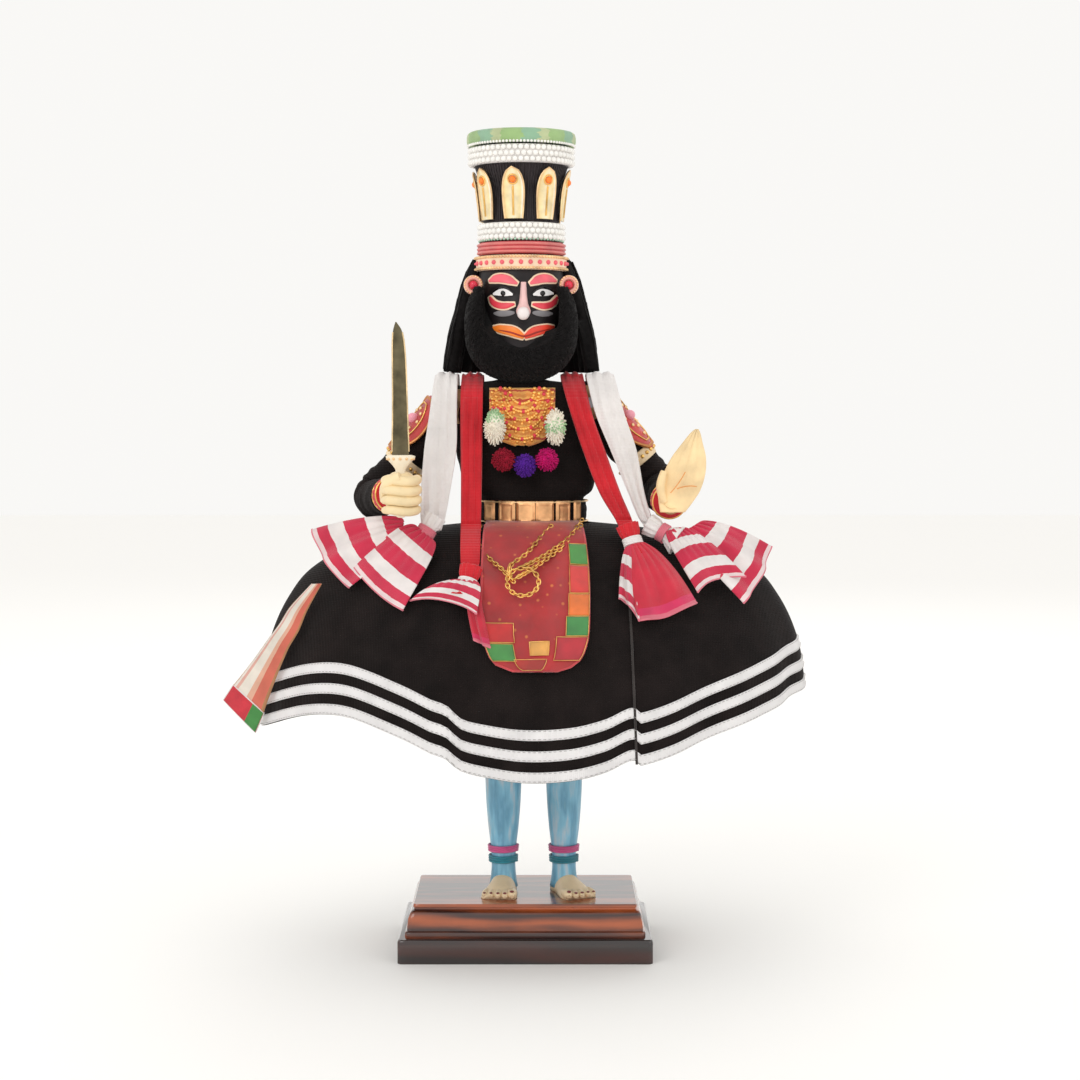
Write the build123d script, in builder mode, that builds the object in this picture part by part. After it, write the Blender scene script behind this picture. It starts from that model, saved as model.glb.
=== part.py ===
from build123d import *
import os
from math import sqrt

os.makedirs("parts", exist_ok=True)

# ---- wooden stand ----
plinth_length = 125.0
plinth_depth = 80.0
plinth_height = 12.0
block_top = 28.0
block_levels = [(12, 118, 73), (15, 118, 73), (16.5, 116, 71), (18, 113.4, 67.4), (20.5, 111.2, 65.2)]
block_levels += [(24, 110.4, 64.4), (26, 110.2, 64.2), (28, 110, 64)]
block_screw_x = 42.0
block_screw_y = 20.0
screw_radius = 1.8
screw_head_radius = 3.6
screw_head_recess = 3.0
screw_head_height = 2.2
block_screw_tip = 24.0
leg_screw_radius = 2.2
leg_screw_head_radius = 4.6
leg_screw_tip = 58.0

# ---- legs, middle line of the skirt, torso ----
left_leg_x = 19.4
right_leg_x = -11.2
leg_top = 190.0
leg_levels = [(36, 6.4), (46, 6.3), (56, 7.2), (74, 8.7), (100, 9.4), (140, 9.6), (190, 9.0)]
foot_half_width = 9.0
foot_half_length = 19.0
foot_height = 9.0
foot_forward = 10.0
left_foot_turn = 22.0
right_foot_turn = -6.0
anklet_low = 42.0
anklet_height = 4.2
anklet_gap = 1.0
anklet_radius = 8.8

waist_x = 3.6
torso_levels = [(190, 4.2, 24.5, 16), (214, 3.6, 22.5, 18), (240, 1.0, 23.5, 17)]
torso_levels += [(262, -1.8, 26.5, 16.5), (274, -2.0, 24, 15), (283, -2.0, 13.5, 12)]
right_pivot = (-36.0, 272.0)
left_pivot = (32.0, 274.0)
shoulder_radius = 8.5
shoulder_half_depth = 12.0
slot_radius = 9.0
slot_half_width = 4.0
jacket_gap = 0.1
jacket_thick = 1.5
nail_radius = 1.5
nail_head_radius = 2.6
tongue_bore = 1.55
tongue_radius = 7.5
tongue_half_width = 3.6
tongue_bar_height = 7.4

# ---- neck and head ----
head_x = -2.0
dowel_radius = 4.0
head_bore = 4.05
dowel_low = 262.0
dowel_high = 313.0
collar_radius = 8.0
collar_low = 283.1
head_low = 288.0
head_levels = [(288, -1, 9.5, 10), (296, -3, 14.5, 17), (308, -3, 19.5, 21.5), (320, -2, 21.5, 23)]
head_levels += [(332, -1, 22, 22.5), (342, -1, 20.5, 20.5), (346, -1, 19.5, 19.5)]
hair_levels = [(294, 4, 37, 27), (306, 4, 35, 27), (322, 3, 31, 26.5), (336, 2, 27.5, 25), (344, 1, 24, 23)]
nose_z = 317.0
ball_radius = 3.25
crown_base = 346.2
crown_y = -1.0

# ---- skirt and cloth ----
skirt_x = 4.0
skirt_levels = [(90, 137.2, 84.3), (107, 137.0, 83.6), (125, 136.6, 82.3), (150, 135, 79)]
skirt_levels += [(170, 130, 73), (190, 117, 62), (202, 96, 51.5), (208, 76, 43)]
skirt_levels += [(212, 50, 33), (214, 28.5, 24.5)]
cloth = 2.0
hem_points = [(-160, 118), (-133, 113), (-122, 118), (-108, 123.5), (-92, 125.5), (-75, 122.5), (-58, 117)]
hem_points += [(-44, 111.2), (-32.4, 105.5), (-20.7, 100), (-2, 97.4), (21, 98), (37.5, 101.8)]
hem_points += [(54, 106.4), (83, 114.5), (108, 123), (135, 131.5), (160, 138)]
tape_width = 5.0
tape_step = 10.0
padding_low = 158.0
belt_low = 214.8
belt_high = 225.6
belt_wide = 27.2
belt_deep = 24.0
strip_thick = 1.2


def save(builder, label):
    builder.part.label = label
    export_step(builder.part, "parts/" + label + ".step")


def ellipse_stack(levels):
    """Smooth solid through ellipses given as (z, x, y, half width, half depth)."""
    with BuildPart() as body:
        for z, x, y, wide, deep in levels:
            with BuildSketch(Plane.XY.offset(z)):
                with Locations((x, y)):
                    Ellipse(wide, deep)
        loft()
    return body.part


def dome(grow, lift):
    """The bell of the skirt, grown sideways and lifted."""
    return ellipse_stack([(z + lift, skirt_x, 0, wide + grow, deep + grow) for z, wide, deep in skirt_levels])


def torso_form(grow):
    return ellipse_stack([(z, x, 0, wide + grow, deep + grow) for z, x, wide, deep in torso_levels])


def head_form():
    return ellipse_stack([(z, head_x, y, wide, deep) for z, y, wide, deep in head_levels])


def shoulder_bar(radius, half_depth):
    """Bar across both shoulders with round ends about the two pivots."""
    with BuildPart() as bar:
        with BuildSketch(Plane.XZ):
            with Locations(right_pivot, left_pivot):
                Circle(radius)
            make_hull()
        extrude(amount=half_depth, both=True)
    return bar.part


def pivot_barrel(pivot, radius, half_width):
    with BuildPart() as barrel:
        with BuildSketch(Plane.XZ):
            with Locations(pivot):
                Circle(radius)
        extrude(amount=half_width, both=True)
    return barrel.part


def skirt_face_y(x, z):
    """Depth of the skirt's front face at a place given by x and z."""
    for (low, wide_low, deep_low), (high, wide_high, deep_high) in zip(skirt_levels, skirt_levels[1:]):
        if low <= z <= high:
            part_way = (z - low) / (high - low)
            wide = wide_low + (wide_high - wide_low) * part_way
            deep = deep_low + (deep_high - deep_low) * part_way
            return -deep * sqrt(max(0.0, 1 - ((x - skirt_x) / wide) ** 2))
    return 0.0


def rod(start, end, radius):
    """Round bar between two points."""
    line = Vector(*end) - Vector(*start)
    with BuildPart() as bar:
        with BuildSketch(Plane(origin=start, z_dir=line)):
            Circle(radius)
        extrude(amount=line.length)
    return bar.part


def ball(centre, radius):
    with BuildPart() as sphere:
        with Locations(centre):
            Sphere(radius)
    return sphere.part


def point_between(start, end, share):
    return tuple(a + (b - a) * share for a, b in zip(start, end))


# ---- stand ----
with BuildPart() as base_plinth:
    Box(plinth_length, plinth_depth, plinth_height, align=(Align.CENTER, Align.CENTER, Align.MIN))
    fillet(base_plinth.edges().filter_by(Axis.Z), 1.5)
    fillet(base_plinth.faces().sort_by(Axis.Z)[-1].edges(), 1.2)
    with GridLocations(2 * block_screw_x, 2 * block_screw_y, 2, 2):
        Cylinder(screw_radius, 4 * plinth_height, mode=Mode.SUBTRACT)
        Cylinder(screw_head_radius, 2 * screw_head_recess, mode=Mode.SUBTRACT)
    with Locations((left_leg_x, 0), (right_leg_x, 0)):
        Cylinder(leg_screw_radius, 4 * plinth_height, mode=Mode.SUBTRACT)
        Cylinder(leg_screw_head_radius, 2 * screw_head_recess, mode=Mode.SUBTRACT)
save(base_plinth, "base_plinth")

with BuildPart() as base_block:
    for z, wide, deep in block_levels:
        with BuildSketch(Plane.XY.offset(z)):
            Rectangle(wide, deep)
    loft(ruled=True)
    with Locations((left_leg_x, 0), (right_leg_x, 0)):
        Cylinder(leg_screw_radius, 4 * block_top, mode=Mode.SUBTRACT)
    with GridLocations(2 * block_screw_x, 2 * block_screw_y, 2, 2):
        Cylinder(screw_radius, 2 * block_screw_tip, mode=Mode.SUBTRACT)
save(base_block, "base_block")

with BuildPart() as base_screws:
    with BuildSketch(Plane.XY.offset(screw_head_recess)):
        with GridLocations(2 * block_screw_x, 2 * block_screw_y, 2, 2):
            Circle(screw_radius)
    extrude(amount=block_screw_tip - screw_head_recess)
    with BuildSketch(Plane.XY.offset(screw_head_recess - screw_head_height)):
        with GridLocations(2 * block_screw_x, 2 * block_screw_y, 2, 2):
            Circle(screw_head_radius - 0.2)
    extrude(amount=screw_head_height)
save(base_screws, "base_screws")

with BuildPart() as leg_screws:
    with BuildSketch(Plane.XY.offset(screw_head_recess)):
        with Locations((left_leg_x, 0), (right_leg_x, 0)):
            Circle(leg_screw_radius)
    extrude(amount=leg_screw_tip - screw_head_recess)
    with BuildSketch(Plane.XY.offset(screw_head_recess - screw_head_height)):
        with Locations((left_leg_x, 0), (right_leg_x, 0)):
            Circle(leg_screw_head_radius - 0.2)
    extrude(amount=screw_head_height)
save(leg_screws, "leg_screws")


# ---- legs ----
def leg_shaft(x):
    with BuildPart() as shaft:
        for z, radius in leg_levels:
            with BuildSketch(Plane.XY.offset(z)):
                with Locations((x, 0)):
                    Circle(radius)
        loft()
    return shaft.part


def carved_leg(x, turn):
    sole = Plane(origin=(x, 0, block_top)).rotated((0, 0, turn))
    with BuildPart() as leg:
        with BuildSketch(sole):
            with Locations((0, -foot_forward)):
                Ellipse(foot_half_width, foot_half_length)
        extrude(amount=foot_height)
        fillet(leg.faces().sort_by(Axis.Z)[-1].edges(), 3.5)
        add(leg_shaft(x))
        with Locations((x, 0, block_top)):
            Cylinder(leg_screw_radius, 2 * (leg_screw_tip - block_top), mode=Mode.SUBTRACT)
    return leg


def anklets(low):
    """Pair of rings, one on each ankle."""
    with BuildPart() as rings:
        with BuildSketch(Plane.XY.offset(low)):
            with Locations((left_leg_x, 0), (right_leg_x, 0)):
                Circle(anklet_radius)
        extrude(amount=anklet_height)
        fillet(rings.edges(), 1.4)
        add(leg_shaft(left_leg_x), mode=Mode.SUBTRACT)
        add(leg_shaft(right_leg_x), mode=Mode.SUBTRACT)
    return rings


save(carved_leg(left_leg_x, left_foot_turn), "left_leg")
save(carved_leg(right_leg_x, right_foot_turn), "right_leg")
save(anklets(anklet_low), "anklets_low")
save(anklets(anklet_low + anklet_height + anklet_gap), "anklets_high")

# ---- torso, jacket, nails, neck ----
with BuildPart() as torso_core:
    add(torso_form(0))
    add(shoulder_bar(shoulder_radius, shoulder_half_depth))
    for pivot in (right_pivot, left_pivot):
        add(pivot_barrel(pivot, slot_radius, slot_half_width), mode=Mode.SUBTRACT)
        add(pivot_barrel(pivot, nail_radius, shoulder_half_depth + 1), mode=Mode.SUBTRACT)
    add(rod((head_x, 0, dowel_low), (head_x, 0, 300), dowel_radius), mode=Mode.SUBTRACT)
save(torso_core, "torso_core")

with BuildPart() as jacket:
    add(torso_form(jacket_gap + jacket_thick))
    jacket_outside = jacket_gap + jacket_thick
    add(shoulder_bar(shoulder_radius + jacket_outside, shoulder_half_depth + jacket_outside))
    add(torso_form(jacket_gap), mode=Mode.SUBTRACT)
    add(shoulder_bar(shoulder_radius + jacket_gap, shoulder_half_depth + jacket_gap), mode=Mode.SUBTRACT)
    for pivot in (right_pivot, left_pivot):
        add(pivot_barrel(pivot, slot_radius + 1.6, slot_half_width + 0.4), mode=Mode.SUBTRACT)
        add(pivot_barrel(pivot, nail_head_radius + 0.1, shoulder_half_depth + 2), mode=Mode.SUBTRACT)
    with Locations((waist_x, 0, 150)):
        Box(200, 200, 2 * (belt_low - 150) - 1.0, mode=Mode.SUBTRACT)
    add(rod((head_x, 0, 270), (head_x, 0, 300), collar_radius + 0.5), mode=Mode.SUBTRACT)
save(jacket, "jacket")

with BuildPart() as shoulder_nails:
    for pivot in (right_pivot, left_pivot):
        add(pivot_barrel(pivot, nail_radius, shoulder_half_depth))
    with BuildSketch(Plane.XZ.offset(shoulder_half_depth)):
        with Locations(right_pivot, left_pivot):
            Circle(nail_head_radius)
    extrude(amount=1.2)
save(shoulder_nails, "shoulder_nails")

with BuildPart() as neck_dowel:
    add(rod((head_x, 0, dowel_low), (head_x, 0, dowel_high), dowel_radius))
    add(rod((head_x, 0, collar_low), (head_x, 0, head_low - 0.3), collar_radius))
save(neck_dowel, "neck_dowel")


# ---- head ----
with BuildPart() as head_core:
    add(head_form())
    add(rod((head_x, 0, head_low - 5), (head_x, 0, dowel_high + 0.3), head_bore), mode=Mode.SUBTRACT)
    with BuildSketch(Plane.XZ.offset(20)):
        with Locations((head_x + 1.2, nose_z)):
            Ellipse(3.2, 5.0)
    extrude(amount=8)
save(head_core, "head_core")

with BuildPart() as nose_ball:
    with Locations((head_x + 1.2, -30.9, nose_z)):
        Sphere(ball_radius)
    with Locations((head_x, -18, nose_z)):
        Box(20, 20.1, 20, mode=Mode.SUBTRACT)
save(nose_ball, "nose_ball")

with BuildPart() as beard:
    beard_back = Plane(origin=(head_x, -8, 0), x_dir=(1, 0, 0), z_dir=(0, -1, 0))
    with BuildSketch(beard_back):
        with BuildLine():
            Spline((0, 283.5), (12, 288.5), (22, 298), (27.5, 310), (26.5, 320), (23.5, 325))
            Line((23.5, 325), (-23.5, 325))
            Spline((-23.5, 325), (-26.5, 320), (-27.5, 310), (-22, 298), (-12, 288.5), (0, 283.5))
        make_face()
    extrude(amount=16)
    with BuildSketch(beard_back):
        with BuildLine():
            Spline((0, 299), (10, 301.5), (17, 309), (18, 320), (17, 330))
            Line((17, 330), (-17, 330))
            Spline((-17, 330), (-18, 320), (-17, 309), (-10, 301.5), (0, 299))
        make_face()
    extrude(amount=40, mode=Mode.SUBTRACT)
    add(head_form(), mode=Mode.SUBTRACT)
save(beard, "beard")

with BuildPart() as hair:
    add(ellipse_stack([(z, head_x, y, wide, deep) for z, y, wide, deep in hair_levels]))
    with Locations((head_x, -34, 320)):
        Box(120, 60, 120, mode=Mode.SUBTRACT)
    add(head_form(), mode=Mode.SUBTRACT)
    add(rod((head_x, 0, 280), (head_x, 0, 305), 15), mode=Mode.SUBTRACT)
save(hair, "hair")

with BuildPart() as ear_discs:
    with BuildSketch(Plane.XZ.offset(13)):
        with Locations((-25.4, 331.5), (21.4, 331.5)):
            Circle(4.6)
    extrude(amount=3)
    fillet(ear_discs.edges(), 0.8)
save(ear_discs, "ear_discs")

with BuildPart() as forehead_band:
    with BuildSketch(Plane.XY.offset(338.5)):
        with Locations((head_x, -1)):
            Ellipse(23.2, 23.2)
    extrude(amount=346 - 338.5)
    add(head_form(), mode=Mode.SUBTRACT)
    with Locations((head_x, 25.7, 340)):
        Box(80, 60, 40, mode=Mode.SUBTRACT)
save(forehead_band, "forehead_band")


def turned(profile):
    """Solid turned about the crown's upright axis from (radius, z) points."""
    with BuildPart() as shape:
        with BuildSketch(Plane(origin=(head_x, crown_y, 0), x_dir=(1, 0, 0), z_dir=(0, -1, 0))):
            with BuildLine():
                Polyline(*profile, close=True)
            make_face()
        revolve(axis=Axis((head_x, crown_y, 0), (0, 0, 1)))
    return shape


crown_core_profile = [(0, crown_base), (19.4, crown_base), (19.4, 352.8), (18.6, 353), (18.6, 362.6)]
crown_core_profile += [(18.2, 374)]
crown_core_profile += [(20, 383), (22.8, 390), (22.8, 399.5), (22, 402), (0, 402)]
crown_core = turned(crown_core_profile)
save(crown_core, "crown_core")
save(turned([(19.5, 346.5), (21.2, 347), (21.6, 349.5), (21.2, 352), (19.5, 352.6)]), "crown_red_band")
save(turned([(18.7, 353.1), (21, 353.4), (21.8, 357.8), (21, 362.2), (18.7, 362.5)]), "pearl_band_low")
save(turned([(22.9, 390.2), (25.4, 390.4), (26.4, 394.8), (25.4, 399), (22.9, 399.2)]), "pearl_band_top")
save(turned([(22.9, 399.6), (26.6, 400), (26.9, 403), (26.4, 406.3), (22.9, 406.6)]), "crown_green_ring")
save(turned([(0, 402.1), (22.7, 402.1), (22.7, 404.4), (16, 406), (8, 406.8), (0, 407)]), "crown_cap")

petal_count = 8
petal_radius = 20.6
petal_lean = 6.0
with BuildPart() as crown_petals:
    for number in range(petal_count):
        turn = 360.0 / petal_count * number
        upright = Plane(origin=(head_x, crown_y, 363.4), x_dir=(1, 0, 0), z_dir=(0, -1, 0))
        upright = upright.rotated((0, 0, turn))
        leaning = upright.offset(petal_radius).rotated((petal_lean, 0, 0))
        with BuildSketch(leaning):
            with BuildLine():
                Spline((-4.5, 0), (-6.6, 12), (-5.2, 20), (0, 24.5), (5.2, 20), (6.6, 12), (4.5, 0))
                Line((4.5, 0), (-4.5, 0))
            make_face()
        extrude(amount=1.2)
    add(crown_core.part, mode=Mode.SUBTRACT)
save(crown_petals, "crown_petals")


# ---- arms ----
right_elbow = (-77.0, 0.0, 225.5)
right_wrist = (-62.0, -48.0, 230.5)
left_elbow = (68.0, 0.0, 231.0)
left_wrist = (70.0, -44.0, 225.6)
core_radius = 5.2
sleeve_radius = 8.8
cuff_length = 8.0
cuff_back = 13.0


def arm_chain(shoulder, elbow, wrist, radius):
    with BuildPart() as chain:
        add(rod(shoulder, elbow, radius))
        add(ball(elbow, radius))
        add(rod(elbow, wrist, radius))
    return chain.part


def arm_core(pivot, elbow, wrist):
    hinge = (pivot[0], 0.0, pivot[1])
    near = point_between(hinge, elbow, 0.2)
    line = Vector(*elbow) - Vector(*hinge)
    with BuildPart() as core:
        add(arm_chain(near, elbow, wrist, core_radius))
        with BuildSketch(Plane(origin=hinge, z_dir=line, x_dir=(0, 1, 0))):
            Rectangle(2 * tongue_half_width, tongue_bar_height)
        extrude(amount=0.25 * line.length)
        add(pivot_barrel(pivot, slot_radius + 1.7, 40), mode=Mode.SUBTRACT)
        add(pivot_barrel(pivot, tongue_radius, tongue_half_width))
        with BuildSketch(Plane(origin=hinge, z_dir=line, x_dir=(0, 1, 0))):
            Rectangle(2 * tongue_half_width, tongue_bar_height)
        extrude(amount=0.22 * line.length)
        add(pivot_barrel(pivot, tongue_bore, 20), mode=Mode.SUBTRACT)
    return core


def arm_sleeve(pivot, elbow, wrist, outward):
    hinge = (pivot[0], 0.0, pivot[1])
    fore = (Vector(*wrist) - Vector(*elbow)).length
    sleeve_end = point_between(elbow, wrist, 1 - (cuff_back + 0.3) / fore)
    with BuildPart() as sleeve:
        add(arm_chain(hinge, elbow, sleeve_end, sleeve_radius))
        add(arm_chain(hinge, elbow, wrist, core_radius + 0.05), mode=Mode.SUBTRACT)
        add(pivot_barrel(pivot, slot_radius + 1.7, 40), mode=Mode.SUBTRACT)
        with Locations((pivot[0] - outward * 38, 0, pivot[1])):
            Box(80, 80, 80, mode=Mode.SUBTRACT)
    return sleeve


def band_about(start, end, low, high, inner, outer):
    """Ring about the line from start to end between two distances along it."""
    line = (Vector(*end) - Vector(*start)).normalized()
    foot = Vector(*start) + line * low
    head = Vector(*start) + line * high
    with BuildPart() as band:
        add(rod(foot, head, outer))
        fillet(band.edges(), 0.7)
        add(rod(foot - line, head + line, inner), mode=Mode.SUBTRACT)
    return band


arm_sides = (
    ("right", right_pivot, right_elbow, right_wrist, -1),
    ("left", left_pivot, left_elbow, left_wrist, 1),
)
for side, pivot, elbow, wrist, outward in arm_sides:
    hinge = (pivot[0], 0.0, pivot[1])
    save(arm_core(pivot, elbow, wrist), side + "_arm_core")
    save(arm_sleeve(pivot, elbow, wrist, outward), side + "_sleeve")
    save(band_about(hinge, elbow, 34, 40, sleeve_radius + 0.1, sleeve_radius + 1.9), side + "_armlet")
    fore = (Vector(*wrist) - Vector(*elbow)).length
    cuff_start = fore - cuff_back
    cuff_end = cuff_start + cuff_length
    save(band_about(elbow, wrist, cuff_start, cuff_end, core_radius + 0.1, 8.6), side + "_cuff")
    centre = (pivot[0] + outward * 15.0, -9.2, pivot[1] - 5.5)
    with BuildPart() as shoulder_boss:
        with BuildSketch(Plane(origin=centre, z_dir=(outward * 0.45, -1, 0.15))):
            Ellipse(7.5, 9.0)
        extrude(amount=3.2)
        fillet(shoulder_boss.faces().sort_by(Axis.Y)[0].edges(), 1.2)
        add(arm_chain(hinge, elbow, wrist, sleeve_radius + 0.1), mode=Mode.SUBTRACT)
        add(pivot_barrel(pivot, slot_radius + 1.9, 40), mode=Mode.SUBTRACT)
    save(shoulder_boss, side + "_shoulder_boss")

# ---- sword hand and sword ----
sword_x = -58.5
sword_y = -60.0
fist_low = 220.0
fist_high = 242.0
grip_radius = 2.4
grip_bore = 2.45
with BuildPart() as right_fist:
    with BuildSketch(Plane.XY.offset(fist_low)):
        with Locations((sword_x, sword_y + 1)):
            Ellipse(8.6, 10.2)
    extrude(amount=fist_high - fist_low)
    fillet(right_fist.edges(), 3.5)
    add(rod(right_elbow, right_wrist, core_radius), mode=Mode.SUBTRACT)
    with Locations((sword_x, sword_y, fist_low)):
        Cylinder(grip_bore, 4 * (fist_high - fist_low), mode=Mode.SUBTRACT)
save(right_fist, "right_fist")

guard_low = fist_high + 0.3
with BuildPart() as sword_hilt:
    with BuildSketch(Plane.XY.offset(fist_low + 0.5)):
        with Locations((sword_x, sword_y)):
            Circle(grip_radius)
    extrude(amount=guard_low - fist_low - 0.5)
    for height, wide, deep in ((0, 3.4, 3.0), (3, 4.6, 3.0), (7, 7.0, 3.2)):
        with BuildSketch(Plane.XY.offset(guard_low + height)):
            with Locations((sword_x, sword_y)):
                Ellipse(wide, deep)
    loft()
save(sword_hilt, "sword_hilt")

with BuildPart() as sword_blade:
    blade_root = Plane(origin=(sword_x, sword_y + 0.8, guard_low + 7), x_dir=(1, 0, 0), z_dir=(0, -1, 0))
    with BuildSketch(blade_root):
        with BuildLine():
            Spline((-2.4, 0), (-3.6, 25), (-2.6, 50), (1.6, 62.5))
            Spline((1.6, 62.5), (2.4, 50), (1.8, 25), (2.6, 0))
            Line((2.6, 0), (-2.4, 0))
        make_face()
    extrude(amount=1.6)
save(sword_blade, "sword_blade")

# ---- open hand ----
with BuildPart() as left_hand:
    with BuildSketch(Plane.XZ.offset(42)):
        with BuildLine():
            Spline((64.5, 222), (64, 232), (68, 243), (74, 252), (82, 261.5))
            Spline((82, 261.5), (84.5, 254), (86.5, 243), (84, 232), (77, 222))
            Line((77, 222), (64.5, 222))
        make_face()
    extrude(amount=5)
    add(rod(left_elbow, left_wrist, core_radius + 0.05), mode=Mode.SUBTRACT)
save(left_hand, "left_hand")


# ---- skirt ----
def hem_region(low, high):
    """Solid between two lines that follow the hem, seen from the front."""
    with BuildPart() as region:
        with BuildSketch(Plane.XZ):
            with BuildLine():
                Spline(*[(x, z + low) for x, z in hem_points])
                Line((160, 138 + low), (160, 138 + high))
                Spline(*[(x, z + high) for x, z in reversed(hem_points)])
                Line((-160, 118 + high), (-160, 118 + low))
            make_face()
        extrude(amount=120, both=True)
    return region.part


with BuildPart() as skirt:
    add(dome(0, 0))
    add(dome(-cloth, -cloth), mode=Mode.SUBTRACT)
    add(hem_region(-60, 0), mode=Mode.SUBTRACT)
    add(torso_form(jacket_gap + jacket_thick + 0.1), mode=Mode.SUBTRACT)
    with Locations((skirt_x, 0, 85)):
        Box(400, 300, 26, mode=Mode.SUBTRACT)
save(skirt, "skirt")

with BuildPart() as hem_tapes:
    add(dome(0.7, 0))
    add(hem_region(-60, 0.2), mode=Mode.SUBTRACT)
    for number in range(2):
        start = number * tape_step + 0.2 + tape_width
        add(hem_region(start, start + tape_step - tape_width), mode=Mode.SUBTRACT)
    add(hem_region(2 * tape_step + 0.2 + tape_width, 140), mode=Mode.SUBTRACT)
    add(dome(0.15, 0.0), mode=Mode.SUBTRACT)
save(hem_tapes, "hem_tapes")

with BuildPart() as skirt_padding:
    add(dome(-cloth - 0.3, -cloth - 0.3))
    with Locations((skirt_x, 0, padding_low - 100)):
        Box(400, 300, 200, mode=Mode.SUBTRACT)
    add(torso_form(0.2), mode=Mode.SUBTRACT)
    add(leg_shaft(left_leg_x), mode=Mode.SUBTRACT)
    add(leg_shaft(right_leg_x), mode=Mode.SUBTRACT)
save(skirt_padding, "skirt_padding")


def belt_ring(low, high, inner_grow, outer_grow):
    with BuildPart() as ring:
        with BuildSketch(Plane.XY.offset(low)):
            with Locations((waist_x, 0)):
                Ellipse(belt_wide + outer_grow, belt_deep + outer_grow)
                Ellipse(belt_wide + inner_grow, belt_deep + inner_grow, mode=Mode.SUBTRACT)
        extrude(amount=high - low)
    return ring


waist_roll = belt_ring(belt_low, belt_high, -2.6, -0.2)
save(waist_roll, "waist_band")
plate_width = 8.6
with BuildPart() as belt_plates:
    for x in (-17.0, -8.4, 0.4, 9.2, 17.9, 25.0):
        depth = belt_deep * sqrt(1 - min(0.97, ((x - waist_x) / belt_wide) ** 2))
        slope = (x - waist_x) / belt_wide ** 2 * belt_deep ** 2 / depth
        middle = (x, -depth - 0.3, (belt_low + belt_high) / 2)
        facing = Plane(origin=middle, z_dir=(slope, -1, 0), x_dir=(1, slope, 0))
        with BuildSketch(facing):
            Rectangle(plate_width * (0.96 - 0.012 * abs(x - waist_x)), belt_high - belt_low + 1.2)
        extrude(amount=1.6)
    add(belt_ring(belt_low - 5, belt_high + 5, -12, 0).part, mode=Mode.SUBTRACT)
save(belt_plates, "belt_plates")


def on_skirt(outline, low, high, thick_top, back):
    """Cloth laid on the front of the skirt inside an outline given as (x, z)."""
    with BuildPart() as patch:
        add(dome(high, thick_top))
        add(dome(low, low), mode=Mode.SUBTRACT)
        with BuildSketch(Plane.XZ.offset(back)):
            with BuildLine():
                Polyline(*outline, close=True)
            make_face()
        extrude(amount=110, mode=Mode.INTERSECT)
    return patch


apron_outline = [(-19.5, 214), (-20, 190), (-19.5, 166), (-15, 155), (-6, 149), (6, 147.5), (18, 149)]
apron_outline += [(26, 154.5), (29.5, 164), (30, 190), (28, 214)]
save(on_skirt(apron_outline, 0.5, 1.8, 1.5, 26.5), "apron")
border_outline = [(21.5, 208), (21.5, 165), (19, 156), (20, 150.5), (26, 155.5), (29, 165)]
border_outline += [(29.4, 190), (27.8, 208)]
low_outline = [(-19, 168), (-14.8, 156), (-6, 150), (6, 148.5), (17.5, 149.8), (18, 156), (4, 157)]
low_outline += [(-6, 160), (-10, 168)]
with BuildPart() as apron_borders:
    add(on_skirt(border_outline, 2.0, 2.8, 2.4, 30).part)
    add(on_skirt(low_outline, 2.0, 2.8, 2.4, 30).part)
save(apron_borders, "apron_borders")


# ---- stoles ----
def strip(profile, outline, guard):
    """Flat cloth band: a side profile (y, z) met by a front outline (x, z)."""
    with BuildPart() as band:
        with BuildSketch(Plane.YZ):
            with BuildLine():
                FilletPolyline(*profile, radius=2.0)
            trace(line_width=strip_thick)
        extrude(amount=160, both=True)
        with BuildSketch(Plane.XZ):
            with BuildLine():
                Polyline(*outline, close=True)
            make_face()
        extrude(amount=100, both=True, mode=Mode.INTERSECT)
        add(dome(guard, guard), mode=Mode.SUBTRACT)
    return band


def bound_neck(centre, direction):
    """Thread-bound neck of a gathered cloth end."""
    line = Vector(*direction).normalized()
    start = Vector(*centre) - line * 3
    with BuildPart() as neck:
        add(rod(start, start + line * 6, 3.6))
        fillet(neck.edges(), 1.0)
        add(dome(0.4, 0.4), mode=Mode.SUBTRACT)
    return neck


def flared_end(centre, direction, length, half_width, half_thick, roll):
    """Cloth end that opens from the bound neck like a flower."""
    line = Vector(*direction).normalized()
    start = Vector(*centre) + line * 3.2
    side = line.cross(Vector(*roll)).normalized()
    with BuildPart() as flare:
        for share, wide, thick in ((0, 3.2, 3.0), (0.35, 0.42, 0.62), (1.0, 1.0, 1.0)):
            width = wide if share == 0 else wide * half_width
            depth = thick if share == 0 else thick * half_thick
            with BuildSketch(Plane(origin=start + line * (share * length), z_dir=line, x_dir=side)):
                Ellipse(width, depth)
        loft()
        add(dome(3.0, 2.6), mode=Mode.SUBTRACT)
    return flare


over_left = [(19.4, 262), (19.2, 273), (14.8, 285.6), (-14.8, 285.6), (-19.2, 273)]
over_right = [(19.4, 262), (19.2, 273), (14.8, 284.2), (-14.8, 284.2), (-19.2, 273)]
red_right_fall = [(-21, 258), (-24.5, 240), (-28.5, 224), (-32, 214.8), (-41, 210)]
red_right_fall += [(-50.5, 203.8), (-61.5, 191.8)]
red_left_fall = [(-21, 258), (-24.5, 242), (-29, 228), (-34, 218), (-39.5, 212.5), (-44, 208.5)]
white_fall = [(-21.5, 258), (-25, 242), (-29, 229), (-34, 217.5), (-38, 212.5)]

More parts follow.
